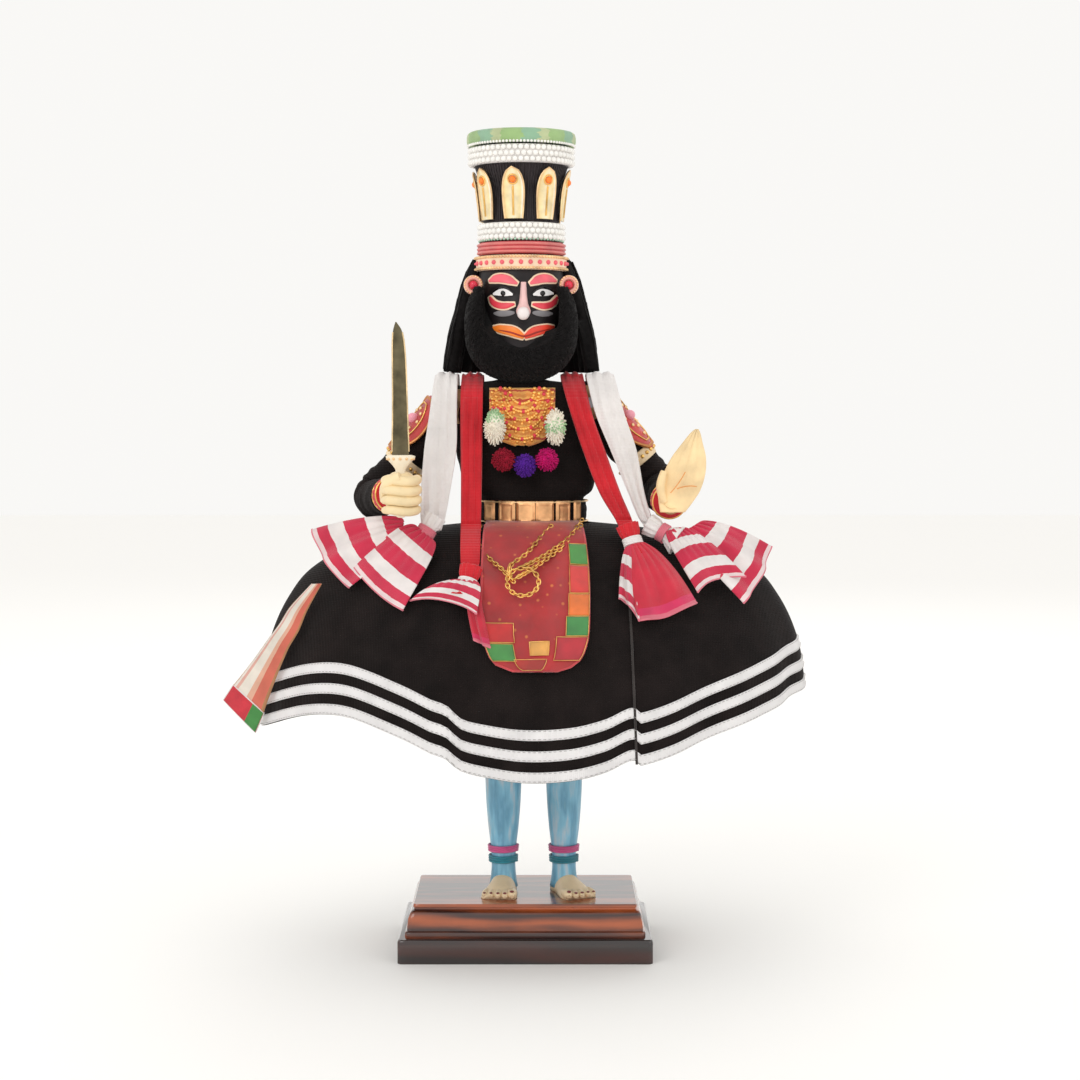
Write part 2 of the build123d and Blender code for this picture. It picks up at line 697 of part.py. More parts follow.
red_right_outline = [(-31.5, 290), (-32, 284), (-32.4, 268), (-32.2, 251), (-32, 215), (-31, 198)]
red_right_outline += [(-29.5, 190), (-22.5, 190), (-20.8, 198), (-20.3, 215), (-20, 251), (-20, 268)]
red_right_outline += [(-20, 284), (-20, 290)]
white_right_outline = [(-44, 290), (-45, 284), (-47.5, 268), (-49.8, 251), (-52, 224), (-50.5, 215.5)]
white_right_outline += [(-44, 213.5), (-38.2, 222), (-33, 251), (-32.9, 268), (-32.6, 284), (-32.6, 290)]
red_left_outline = [(16.5, 292), (17.5, 284), (22, 268), (27.7, 251), (36, 230), (45, 215), (48.5, 209.5)]
red_left_outline += [(54, 212), (52.5, 219), (46, 232), (39.3, 251), (33.5, 268), (29.5, 284), (28, 292)]
white_left_outline = [(29, 292), (30.2, 284), (34.3, 268), (41.3, 251), (50, 230), (55, 218), (60, 211.5)]
white_left_outline += [(65.5, 214), (60, 222), (58.4, 231), (54.7, 251), (49, 268), (45, 284), (43, 292)]

with BuildPart() as red_stole:
    add(strip(over_right + red_right_fall, red_right_outline, 0.4).part)
    add(strip(over_left + red_left_fall, red_left_outline, 0.4).part)
save(red_stole, "red_stole")
with BuildPart() as white_stole:
    add(strip(over_right + white_fall, white_right_outline, 0.4).part)
    add(strip(over_left + white_fall, white_left_outline, 0.4).part)
save(white_stole, "white_stole")

stole_ends = (
    ("red", (-26.5, -66.5, 186.5), (-8, -9, -24), 22, 21, 6.0, (0, -1, 0.3)),
    ("white", (-49.5, -43.5, 209.5), (-27, -13, -20), 34, 26, 7.0, (-0.3, -1, 0.5)),
    ("red", (52.0, -49.5, 205.5), (13, -17, -32), 30, 18, 8.0, (0.2, -1, 0.4)),
    ("white", (68.5, -42.5, 208.5), (36, -2, -12), 34, 19, 8.0, (0.2, -1, 0.7)),
)
for name in ("red", "white"):
    with BuildPart() as bindings:
        for end_name, centre, direction, length, half_width, half_thick, roll in stole_ends:
            if end_name == name:
                add(bound_neck(centre, direction).part)
    save(bindings, name + "_bindings")
    with BuildPart() as flares:
        for end_name, centre, direction, length, half_width, half_thick, roll in stole_ends:
            if end_name == name:
                add(flared_end(centre, direction, length, half_width, half_thick, roll).part)
    save(flares, name + "_flares")

# ---- side ribbon ----
ribbon_profile = [(-43, 190), (-43, 168), (-39.5, 150), (-32, 132), (-24, 106)]
ribbon_outline = [(-97.5, 186), (-103, 187.5), (-113, 176), (-124, 160), (-134, 146), (-142, 136)]
ribbon_outline += [(-128, 121.5), (-121, 136), (-113, 152), (-105, 168)]
save(strip(ribbon_profile, ribbon_outline, 0.8), "side_ribbon")
patch_outline = [(-142.3, 135.6), (-147.5, 128.5), (-132.5, 112), (-128.2, 121.1)]
save(strip(ribbon_profile, patch_outline, 0.8), "ribbon_patch")


# ---- chest ornaments ----
bib_outline = [(-19, 281.5), (-18, 266), (-12, 256.5), (0, 252.5), (12, 256.5), (15.5, 266), (15, 281.5)]
with BuildPart() as necklace_bib:
    add(torso_form(3.2))
    add(torso_form(jacket_gap + jacket_thick + 0.1), mode=Mode.SUBTRACT)
    add(shoulder_bar(shoulder_radius + 1.7, shoulder_half_depth + 1.7), mode=Mode.SUBTRACT)
    with BuildSketch(Plane.XZ.offset(9)):
        with BuildLine():
            Polyline(*bib_outline, close=True)
        make_face()
    extrude(amount=40, mode=Mode.INTERSECT)
save(necklace_bib, "necklace_bib")


def tuft(centre, radius, half_height):
    with BuildPart() as wool:
        with BuildSketch(Plane(origin=centre, x_dir=(1, 0, 0), z_dir=(0, -1, 0))):
            with BuildLine():
                Spline((0, -half_height), (radius, 0), (0, half_height), tangents=((1, 0), (-1, 0)))
                Line((0, half_height), (0, -half_height))
            make_face()
        revolve(axis=Axis(centre, (0, 0, 1)))
    return wool


with BuildPart() as green_tufts:
    for x in (-14.8, 14.8):
        add(tuft((x, -25.4, 262.4), 4.9, 8.6).part)
save(green_tufts, "green_tufts")
with BuildPart() as wool_tufts:
    for x, z in ((-10.6, 246.4), (0, 243.6), (10.6, 246.4)):
        add(tuft((x, -26.4, z), 4.9, 5.0).part)
save(wool_tufts, "wool_tufts")

# ---- gilt chain on the apron ----
chain_out = 4.6
chain_up = 2.6
chain_marks = [(-22, 204), (-15, 198), (-8, 195), (-1, 197), (7, 201), (15, 204), (24, 208)]
with BuildPart() as waist_chain:
    with BuildLine() as chain_path:
        Spline(*[(x, skirt_face_y(x, z) - chain_out, z + chain_up) for x, z in chain_marks])
    with BuildSketch(Plane(origin=chain_path.line @ 0, z_dir=chain_path.line % 0)):
        Circle(1.0)
    sweep()
    add(dome(2.9, 2.5), mode=Mode.SUBTRACT)
save(waist_chain, "waist_chain")

ring_x = -0.8
ring_z = 188.5
with BuildPart() as chain_ring:
    ring_middle = (ring_x, skirt_face_y(ring_x, ring_z) - chain_out, ring_z)
    with BuildSketch(Plane(origin=ring_middle, z_dir=(0.05, -1, 0.45))):
        Circle(8.6)
        Circle(6.6, mode=Mode.SUBTRACT)
    extrude(amount=1.0, both=True)
    add(dome(2.9, 2.5), mode=Mode.SUBTRACT)
save(chain_ring, "chain_ring")
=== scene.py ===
import bpy
import random
from math import acos, atan2, copysign, cos, degrees, exp, hypot, pi, radians, sin
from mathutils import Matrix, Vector, noise


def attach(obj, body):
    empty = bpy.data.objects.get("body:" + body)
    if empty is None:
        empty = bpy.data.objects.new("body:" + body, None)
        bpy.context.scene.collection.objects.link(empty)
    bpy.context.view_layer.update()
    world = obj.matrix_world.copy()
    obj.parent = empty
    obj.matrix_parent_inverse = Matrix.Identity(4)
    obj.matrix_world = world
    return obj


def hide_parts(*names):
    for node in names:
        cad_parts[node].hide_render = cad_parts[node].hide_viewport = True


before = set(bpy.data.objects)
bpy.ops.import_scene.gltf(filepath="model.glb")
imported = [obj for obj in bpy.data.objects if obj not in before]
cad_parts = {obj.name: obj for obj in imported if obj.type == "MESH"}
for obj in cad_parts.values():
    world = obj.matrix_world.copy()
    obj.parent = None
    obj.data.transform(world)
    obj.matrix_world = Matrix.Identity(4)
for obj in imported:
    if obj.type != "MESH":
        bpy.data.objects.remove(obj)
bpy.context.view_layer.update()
mm = 0.001
dice = random.Random(7)
fullTurn = 2 * pi


# hands-on helpers
def clearSelection():
    if bpy.context.object and bpy.context.object.mode != "OBJECT":
        bpy.ops.object.mode_set(mode="OBJECT")
    bpy.ops.object.select_all(action="DESELECT")


def takeUp(piece):
    clearSelection()
    piece.select_set(True)
    bpy.context.view_layer.objects.active = piece


def closeUp(piece, holes=True):
    takeUp(piece)
    bpy.ops.object.mode_set(mode="EDIT")
    bpy.ops.mesh.select_all(action="SELECT")
    bpy.ops.mesh.remove_doubles(threshold=0.02 * mm)
    if holes:
        bpy.ops.mesh.select_all(action="SELECT")
        bpy.ops.mesh.fill_holes(sides=0)
    bpy.ops.mesh.select_all(action="SELECT")
    bpy.ops.mesh.normals_make_consistent(inside=False)
    bpy.ops.object.mode_set(mode="OBJECT")


def shapedSheet(name, across, along, place):  # a grid pushed into shape, place(u, v) gives mm
    clearSelection()
    bpy.ops.mesh.primitive_grid_add(x_subdivisions=across, y_subdivisions=along, size=1)
    piece = bpy.context.object
    piece.name = name
    for vert in piece.data.vertices:
        vert.co = Vector(place(vert.co.x + 0.5, vert.co.y + 0.5)) * mm
    piece.data.update()
    return piece


def shapedRing(name, around, along, place, holes=True):  # same, with the two long edges sewn up
    piece = shapedSheet(name, around, along, place)
    closeUp(piece, holes)
    return piece


def thicken(piece, thickness, side=0.0):
    closeUp(piece, False)
    takeUp(piece)
    wall = piece.modifiers.new("wall", "SOLIDIFY")
    wall.thickness = thickness * mm
    wall.offset = side
    bpy.ops.object.modifier_apply(modifier="wall")


def soften(piece, levels=1):
    takeUp(piece)
    smooth = piece.modifiers.new("soft", "SUBSURF")
    smooth.levels = levels
    smooth.render_levels = levels
    bpy.ops.object.modifier_apply(modifier="soft")


def roundEdges(piece, width, segments=2):
    takeUp(piece)
    edge = piece.modifiers.new("edge", "BEVEL")
    edge.width = width * mm
    edge.segments = segments
    edge.limit_method = "ANGLE"
    bpy.ops.object.modifier_apply(modifier="edge")


def smoothShade(piece, angle=None):
    takeUp(piece)
    if angle is None:
        bpy.ops.object.shade_smooth()
    else:
        bpy.ops.object.shade_smooth_by_angle(angle=radians(angle))


def joinUp(name, parts):
    clearSelection()
    for part in parts:
        part.select_set(True)
    bpy.context.view_layer.objects.active = parts[0]
    if len(parts) > 1:
        bpy.ops.object.join()
    parts[0].name = name
    return parts[0]


def threads(name, paths, radius, detail=1, closed=False, curl="POLY"):  # round threads along paths in mm
    curve = bpy.data.curves.new(name, "CURVE")
    curve.dimensions = "3D"
    curve.bevel_depth = radius * mm
    curve.bevel_resolution = detail
    curve.use_fill_caps = not closed
    for path in paths:
        spline = curve.splines.new(curl)
        spline.points.add(len(path) - 1)
        for point, spot in zip(spline.points, path):
            point.co = (spot[0] * mm, spot[1] * mm, spot[2] * mm, 1)
            point.radius = spot[3] if len(spot) > 3 else 1.0
        if curl == "NURBS":
            spline.order_u = 3
            spline.use_endpoint_u = not closed
        spline.use_cyclic_u = closed
    piece = bpy.data.objects.new(name, curve)
    bpy.context.collection.objects.link(piece)
    takeUp(piece)
    bpy.ops.object.convert(target="MESH")
    piece = bpy.context.object
    bpy.ops.object.shade_smooth()
    return piece


def beads(name, spots, radius, flat=1.0):  # one turned bead, copied to each spot
    clearSelection()
    bpy.ops.mesh.primitive_uv_sphere_add(segments=12, ring_count=8, radius=radius * mm)
    first = bpy.context.object
    bpy.ops.object.mode_set(mode="EDIT")
    bpy.ops.transform.resize(value=(1, 1, flat))
    bpy.ops.object.mode_set(mode="OBJECT")
    bpy.ops.object.shade_smooth()
    made = [first]
    for spot in spots[1:]:
        again = first.copy()
        again.data = first.data.copy()
        bpy.context.collection.objects.link(again)
        made.append(again)
    for bead, spot in zip(made, spots):
        move = Vector(spot[:3]) * mm
        for vert in bead.data.vertices:
            vert.co += move
    return joinUp(name, made)


def between(table, key):  # smooth reading of rows (key, value, value...)
    rows = sorted(table)
    key = min(max(key, rows[0][0]), rows[-1][0])
    for i in range(len(rows) - 1):
        if key <= rows[i + 1][0]:
            break
    before, a, b, after = rows[max(i - 1, 0)], rows[i], rows[i + 1], rows[min(i + 2, len(rows) - 1)]
    t = (key - a[0]) / (b[0] - a[0])
    out = []
    for k in range(1, len(a)):
        slopeA = (b[k] - before[k]) / max(b[0] - before[0], 1e-6) * (b[0] - a[0])
        slopeB = (after[k] - a[k]) / max(after[0] - a[0], 1e-6) * (b[0] - a[0])
        h = (2 * t**3 - 3 * t**2 + 1) * a[k] + (t**3 - 2 * t**2 + t) * slopeA
        out.append(h + (-2 * t**3 + 3 * t**2) * b[k] + (t**3 - t**2) * slopeB)
    return out


def alongPath(points, t):  # smooth point on a list of tuples, t from 0 to 1
    rows = [(i / (len(points) - 1),) + tuple(p) for i, p in enumerate(points)]
    return between(rows, t)


def finishPiece(piece, body, finish, nodes=(), soft=True):
    piece.data.materials.clear()
    piece.data.materials.append(finish)
    if soft is True:
        smoothShade(piece)
    elif soft:
        smoothShade(piece, soft)
    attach(piece, body)
    if nodes:
        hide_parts(*nodes)
    return piece


# finishes
def startFinish(name, rough, metal=0.0):
    finish = bpy.data.materials.new(name)
    finish.use_nodes = True
    tree = finish.node_tree
    shader = tree.nodes["Principled BSDF"]
    setShader(shader, Roughness=rough, Metallic=metal)
    return finish, tree, shader


def addNode(tree, kind, settings=None, **sockets):
    node = tree.nodes.new(kind)
    for key, value in (settings or {}).items():
        setattr(node, key, value)
    for key, value in sockets.items():
        node.inputs[key].default_value = value
    return node


def wire(tree, source, out, target, into):
    tree.links.new(source.outputs[out], target.inputs[into])


def shaded(colour):
    return tuple(min(1.0, c) for c in colour[:3]) + (1.0,)


def roughen(tree, shader, source, socket, strength, distance):  # bump from one value
    bump = addNode(tree, "ShaderNodeBump", Strength=strength, Distance=distance)
    wire(tree, source, socket, bump, "Height")
    wire(tree, bump, "Normal", shader, "Normal")


def setShader(shader, **values):  # what is the same all over
    for key, value in values.items():
        shader.inputs[key.replace("_", " ")].default_value = value


def patchyColour(tree, shader, colour, spread, scale, source=None):
    # the colour varies softly over the surface, source is a colour node or None
    place = addNode(tree, "ShaderNodeTexCoord")
    cloud = addNode(tree, "ShaderNodeTexNoise", Scale=scale, Detail=5.0)
    wire(tree, place, "Object", cloud, "Vector")
    ramp = addNode(tree, "ShaderNodeMapRange")
    for key, value in (("From Min", 0.3), ("From Max", 0.7), ("To Min", 1 - spread), ("To Max", 1 + spread)):
        ramp.inputs[key].default_value = value
    wire(tree, cloud, "Fac", ramp, "Value")
    mix = addNode(tree, "ShaderNodeVectorMath", {"operation": "SCALE"})
    if source is None:
        mix.inputs[0].default_value = colour[:3]
    else:
        wire(tree, source, "Color", mix, 0)
    wire(tree, ramp, "Result", mix, "Scale")
    wire(tree, mix, "Vector", shader, "Base Color")
    return place, cloud


def weaveBump(tree, shader, thread, depth, coord="Object", counts=(160, 260)):
    place = addNode(tree, "ShaderNodeTexCoord")
    sums = addNode(tree, "ShaderNodeMath", {"operation": "ADD"})
    for number, direction in enumerate(("X", "Z" if coord == "Object" else "Y")):
        wave = addNode(tree, "ShaderNodeTexWave", {"bands_direction": direction}, Distortion=0.6, Detail=1.0)
        wave.inputs["Scale"].default_value = (0.314 / (thread * mm) if coord == "Object"
            else 0.314 * counts[number])
        wire(tree, place, coord, wave, "Vector")
        wire(tree, wave, "Fac", sums, number)
    roughen(tree, shader, sums, "Value", depth, 0.0004)


def clothFinish(name, colour, spread=0.25, thread=0.7, depth=0.5, rough=0.85, sheen=0.25, gloss=0.3):
    finish, tree, shader = startFinish(name, rough)
    patchyColour(tree, shader, colour, spread, 70)
    weaveBump(tree, shader, thread, depth)
    setShader(shader, Sheen_Weight=sheen, Sheen_Roughness=0.5, Specular_IOR_Level=gloss)
    return finish


def bandedFinish(name, stops, spread=0.12, axis="Y", repeat=1.0, counts=(60, 120), rough=0.8, sheen=0.2,
        wobble=0.02):
    # bands across the piece's own length; stops are (where, colour)
    finish, tree, shader = startFinish(name, rough)
    place = addNode(tree, "ShaderNodeTexCoord")
    parts = addNode(tree, "ShaderNodeSeparateXYZ")
    wire(tree, place, "UV", parts, "Vector")
    cloud = addNode(tree, "ShaderNodeTexNoise", Scale=9.0, Detail=2.0)
    wire(tree, place, "UV", cloud, "Vector")
    sway = addNode(tree, "ShaderNodeMath", {"operation": "MULTIPLY_ADD"})
    wire(tree, cloud, "Fac", sway, 0)
    sway.inputs[1].default_value = wobble
    wire(tree, parts, axis, sway, 2)
    times = addNode(tree, "ShaderNodeMath", {"operation": "MULTIPLY"})
    wire(tree, sway, "Value", times, 0)
    times.inputs[1].default_value = repeat
    fract = addNode(tree, "ShaderNodeMath", {"operation": "FRACT"})
    wire(tree, times, "Value", fract, 0)
    ramp = addNode(tree, "ShaderNodeValToRGB")
    ramp.color_ramp.interpolation = "CONSTANT"
    while len(ramp.color_ramp.elements) < len(stops):
        ramp.color_ramp.elements.new(0.5)
    if len(stops) == 1:
        ramp.color_ramp.elements.remove(ramp.color_ramp.elements[1])
    for element, (where, colour) in zip(ramp.color_ramp.elements, stops):
        element.position = where
        element.color = shaded(colour)
    wire(tree, fract, "Value", ramp, "Fac")
    patchyColour(tree, shader, None, spread, 90, source=ramp)
    weaveBump(tree, shader, 1, 0.5, coord="UV", counts=counts)
    setShader(shader, Sheen_Weight=sheen)
    return finish


def woolFinish(name, colour, spread=0.4):
    finish, tree, shader = startFinish(name, 0.9)
    cloud = patchyColour(tree, shader, colour, spread, 420)[1]
    roughen(tree, shader, cloud, "Fac", 0.8, 0.0006)
    setShader(shader, Sheen_Weight=0.04, Specular_IOR_Level=0.1)
    return finish


def paintFinish(name, colour, spread=0.1, rough=0.4, brush=120, depth=0.15):
    finish, tree, shader = startFinish(name, rough)
    place = patchyColour(tree, shader, colour, spread, brush)[0]
    strokes = addNode(tree, "ShaderNodeTexNoise", Scale=brush * 5, Detail=3.0)
    wire(tree, place, "Object", strokes, "Vector")
    roughen(tree, shader, strokes, "Fac", depth, 0.0003)
    return finish


def giltFinish(name, colour, rough=0.32, dents=500):
    finish, tree, shader = startFinish(name, rough, 1.0)
    place = patchyColour(tree, shader, colour, 0.35, 130)[0]
    dimple = addNode(tree, "ShaderNodeTexVoronoi", Scale=dents)
    wire(tree, place, "Object", dimple, "Vector")
    roughen(tree, shader, dimple, "Distance", 0.35, 0.0004)
    return finish


def varnishFinish(name, dark, light, rough, coat, grain=26):
    finish, tree, shader = startFinish(name, rough)
    place = addNode(tree, "ShaderNodeTexCoord")
    stretch = addNode(tree, "ShaderNodeMapping")
    stretch.inputs["Scale"].default_value = (0.12, 1.0, 1.0)
    wire(tree, place, "Object", stretch, "Vector")
    rings = addNode(tree, "ShaderNodeTexWave", {"bands_direction": "Z"}, Scale=grain, Distortion=9.0,
        Detail=4.0)
    rings.inputs["Detail Scale"].default_value = 2.0
    wire(tree, stretch, "Vector", rings, "Vector")
    ramp = addNode(tree, "ShaderNodeValToRGB")
    ramp.color_ramp.elements[0].color = shaded(dark)
    ramp.color_ramp.elements[1].color = shaded(light)
    wire(tree, rings, "Fac", ramp, "Fac")
    patchyColour(tree, shader, None, 0.3, 30, source=ramp)
    roughen(tree, shader, rings, "Fac", 0.08, 0.0003)
    setShader(shader, Coat_Weight=coat, Coat_Roughness=0.08)
    return finish


blackCotton = clothFinish("blackCotton", (0.011, 0.0075, 0.007), 0.4, 0.8, 0.6, 0.85, 0.03, 0.12)
sleeveCotton = clothFinish("sleeveCotton", (0.012, 0.008, 0.0075), 0.4, 0.8, 0.6, 0.85, 0.03, 0.12)
blackWool = woolFinish("blackWool", (0.008, 0.007, 0.007))
redCotton = clothFinish("redCotton", (0.62, 0.012, 0.022), 0.16, 0.7, 0.5, 0.75, 0.25)
whiteCotton = clothFinish("whiteCotton", (0.86, 0.82, 0.80), 0.06, 0.7, 0.5, 0.85, 0.2)
creamPaint = paintFinish("creamPaint", (0.84, 0.66, 0.42), 0.08, 0.45)
bonePaint = paintFinish("bonePaint", (0.88, 0.78, 0.60), 0.07, 0.4)
gilt = giltFinish("gilt", (0.86, 0.52, 0.16))
giltPale = giltFinish("giltPale", (0.90, 0.62, 0.34), 0.38)
nailPaint = paintFinish("nailPaint", (0.20, 0.03, 0.03), 0.1, 0.3)
guardSatin = clothFinish("guardSatin", (0.55, 0.03, 0.03), 0.35, 0.5, 0.4, 0.35, 0.3, 0.6)
copperCord = giltFinish("copperCord", (0.55, 0.24, 0.09), 0.45)
rosePaint = paintFinish("rosePaint", (0.86, 0.34, 0.42), 0.12, 0.3)
palmPaint = paintFinish("palmPaint", (0.88, 0.66, 0.36), 0.14, 0.42)
brassEdge = giltFinish("brassEdge", (0.80, 0.60, 0.34), 0.4)
earPink = paintFinish("earPink", (0.84, 0.40, 0.32), 0.15, 0.3)
rubyGlass = paintFinish("rubyGlass", (0.72, 0.03, 0.07), 0.12, 0.12)
hemPink = clothFinish("hemPink", (0.78, 0.20, 0.26), 0.15, 0.4)
crownCrimson = clothFinish("crownCrimson", (0.60, 0.05, 0.06), 0.3, 0.5, 0.5, 0.6, 0.3, 0.5)
print("finishes mixed")


# the stand
standLook = {"cornerRound": 1.2, "dark": (0.030, 0.006, 0.004), "light": (0.36, 0.075, 0.016)}


def blockOutline(u, wide, deep, round_):
    # evenly walked rounded rectangle, u from 0 to 1
    straightX = wide - 2 * round_
    straightY = deep - 2 * round_
    arc = pi * round_ / 2
    walk = (u % 1.0) * (2 * straightX + 2 * straightY + 4 * arc)
    corners = [(straightX / 2, -straightY / 2, -90), (straightX / 2, straightY / 2, 0),
        (-straightX / 2, straightY / 2, 90), (-straightX / 2, -straightY / 2, 180)]
    runs = [straightX, straightY, straightX, straightY]
    ways = [(1, 0), (0, 1), (-1, 0), (0, -1)]
    starts = [(-straightX / 2, -deep / 2), (wide / 2, -straightY / 2), (straightX / 2, deep / 2),
        (-wide / 2, straightY / 2)]
    for run, way, begin, corner in zip(runs, ways, starts, corners):
        if walk <= run:
            return begin[0] + way[0] * walk, begin[1] + way[1] * walk
        walk -= run
        if walk <= arc:
            turn = radians(corner[2]) + walk / round_
            return corner[0] + round_ * cos(turn), corner[1] + round_ * sin(turn)
        walk -= arc
    return -straightX / 2, -deep / 2


mouldSteps = [(12.0, 117.6, 72.6), (12.4, 118, 73), (14.6, 118, 73), (15.0, 117.4, 72.4), (15.2, 116.4, 71.4)]
for k in range(9):  # the hollow of the cove
    turn = pi / 2 * k / 8
    mouldSteps.append((15.4 + 9.6 * sin(turn), 116 - 5.6 * (1 - cos(turn)), 71 - 6.4 * (1 - cos(turn))))
mouldSteps += [(25.4, 109.4, 63.6), (26.2, 109.4, 63.6), (26.5, 110.2, 64.4), (27.4, 110.2, 64.4),
    (28.0, 109.4, 63.6)]


def blockPlace(u, v):
    z, wide, deep = mouldSteps[int(round(v * (len(mouldSteps) - 1)))]
    x, y = blockOutline(u, wide, deep, standLook["cornerRound"])
    return x, y, z


polishedWood = varnishFinish("polishedWood", standLook["dark"], standLook["light"], 0.28, 0.9)
block = shapedRing("mouldedBlock", 240, len(mouldSteps) - 1, blockPlace)
finishPiece(block, "stand", polishedWood, ["base_block"], soft=38)


def plinthPlace(u, v):
    steps = [(0.0, 124.4), (0.4, 125.0), (10.8, 125.0), (11.6, 124.4), (12.0, 123.4)]
    z, wide = steps[int(round(v * 4))]
    x, y = blockOutline(u, wide, wide - 45, 1.4)
    return x, y, z


darkWood = varnishFinish("darkWood", (0.006, 0.0015, 0.001), (0.045, 0.008, 0.004), 0.2, 1.0)
plinth = shapedRing("plinthSlab", 240, 4, plinthPlace)
finishPiece(plinth, "stand", darkWood, ["base_plinth"], soft=38)
print("stand turned out")


# painted legs and feet
legLook = {"left": (19.4, 22.0), "right": (-11.2, -6.0)}  # middle and splay in degrees
legRows = [(30, 7.2, 7.6), (36, 6.3, 6.6), (42, 6.0, 6.0), (50, 6.4, 6.3), (60, 7.6, 7.4), (74, 8.7, 8.7),
    (88, 9.2, 9.4), (104, 9.4, 9.5), (190, 9.0, 9.0)]
legPaint, tree, shader = startFinish("legPaint", 0.42)
place = addNode(tree, "ShaderNodeTexCoord")
pull = addNode(tree, "ShaderNodeMapping")
pull.inputs["Scale"].default_value = (1.0, 1.0, 0.16)
wire(tree, place, "Object", pull, "Vector")
streak = addNode(tree, "ShaderNodeTexNoise", Scale=230.0, Detail=3.0)
wire(tree, pull, "Vector", streak, "Vector")
ramp = addNode(tree, "ShaderNodeValToRGB")
for where, colour in ((0.36, (0.13, 0.34, 0.50)), (0.52, (0.22, 0.50, 0.66)), (0.66, (0.46, 0.55, 0.62))):
    ramp.color_ramp.elements.new(where).color = shaded(colour)
ramp.color_ramp.elements[0].color = (0.30, 0.52, 0.50, 1)
ramp.color_ramp.elements[-1].color = (0.62, 0.42, 0.46, 1)
wire(tree, streak, "Fac", ramp, "Fac")
patchyColour(tree, shader, None, 0.12, 60, source=ramp)


def footOutline(t):  # t 0 heel to 1 toes, gives half width, top height
    return between([(0.0, 1.0, 3.0), (0.06, 4.6, 7.0), (0.25, 6.6, 10.0), (0.45, 6.8, 9.0), (0.7, 8.4, 6.2),
        (0.9, 9.0, 4.2), (1.0, 7.6, 3.0)], t)


for side, (legX, splay) in (("left", legLook["left"]), ("right", legLook["right"])):
    def shank(u, v, legX=legX):
        z = 30 + v * 160
        wide, deep = between(legRows, z)
        turn = u * fullTurn
        calf = 1.3 * exp(-((z - 76) / 16) ** 2) * max(0.0, sin(turn))
        return legX + wide * cos(turn), (deep + calf) * sin(turn), z

    leg = shapedRing(side + "Shank", 36, 60, shank)
    finishPiece(leg, "stand", legPaint, [side + "_leg"])
    swing = radians(splay)

    def footPlace(u, v, legX=legX, swing=swing):
        half, tall = footOutline(v)
        turn = u * fullTurn
        x = half * cos(turn)
        z = max(0.0, tall * sin(turn))
        y = 8.5 - v * 31
        return legX + x * cos(swing) - y * sin(swing), x * sin(swing) + y * cos(swing), 28.05 + z

    foot = shapedRing(side + "Foot", 32, 24, footPlace)
    toes = []
    for number in range(5):
        inner = -1 if side == "left" else 1
        across = inner * (number - 2) * -3.5
        size = (2.7, 2.2, 2.1, 2.0, 1.8)[number]
        reach = -22.5 - (0.8, 1.4, 1.0, 0.2, -1.0)[number]
        tipX = legX + across * cos(swing) - reach * sin(swing)
        tipY = across * sin(swing) + reach * cos(swing)
        backX = legX + across * 0.92 * cos(swing) - (reach + 6.5) * sin(swing)
        backY = across * 0.92 * sin(swing) + (reach + 6.5) * cos(swing)
        toes.append(threads(side + "Toe%d" % number, [[(backX, backY, 30.4, 0.9),
            (tipX * 0.5 + backX * 0.5, tipY * 0.5 + backY * 0.5, 30.4 + 0.1, 1.0),
            (tipX, tipY, 28.4 + size * 0.8, 0.85), (tipX - 0.2 * sin(swing), tipY - 1.0, 28.2 + size * 0.7,
            0.4)]], size, 3, curl="NURBS"))
        nail = beads(side + "Nail%d" % number, [(tipX, tipY - 0.5, 28.3 + size * 1.55)], size * 0.42, 0.5)
        finishPiece(nail, "stand", nailPaint)
    foot = joinUp(side + "Foot", [foot] + toes)
    finishPiece(foot, "stand", creamPaint)

ankletLook = {"low": (42.2, 4.0, (0.02, 0.25, 0.33)), "high": (47.6, 3.8, (0.70, 0.10, 0.30))}
for name, (low, tall, colour) in ankletLook.items():
    wound = []
    for legX in (legLook["left"][0], legLook["right"][0]):
        helix = []
        for step in range(24 * 5 + 1):
            turn = step / 24 * fullTurn
            z = low + 0.5 + (tall - 1) * step / 120
            wide = between(legRows, z)[0] + 0.75 + 0.25 * sin(turn * 0.5)
            helix.append((legX + wide * cos(turn), wide * sin(turn), z))
        wound.append(threads("anklet" + name, [helix], 0.62, 2))
    anklets = joinUp("anklets_" + name, wound)
    finishPiece(anklets, "stand",
        clothFinish("ankletThread" + name, colour, 0.3, 0.4, 0.6, 0.5, 0.2, 0.5), ["anklets_" + name])
print("legs and feet done")

# the bell skirt
skirtLook = {"middle": 4.0, "foldDepth": 2.2, "tapeWidth": 5.0, "tapeStep": 9.8, "lapX": 53.5}
skirtRows = [(90, 137.2, 84.2), (110, 136.9, 83.3), (130, 136.2, 81.7), (150, 134.0, 78.8),
    (165, 129.4, 74.4), (178, 122.6, 68.4)]
skirtRows += [(190, 113.0, 61.2), (200, 97.5, 52.6), (206, 82, 45.8), (210, 65, 39.2), (212.5, 46, 32),
    (214.2, 28.5, 24.5)]
hemRows = [(-160, 116), (-133, 113.4), (-122, 118.2), (-108, 123.5), (-92, 125.7), (-75, 122.9), (-58, 117.2),
    (-44, 111.3), (-36, 108.4), (-30, 102.2)]
hemRows += [(-20, 99.6), (-2, 97.6), (21, 98.4), (37.5, 102.2), (51, 107.4), (54, 104.6), (83, 114.2),
    (108, 123), (135, 131.6), (160, 138)]


def hemHeight(x):
    return between(hemRows, x)[0]


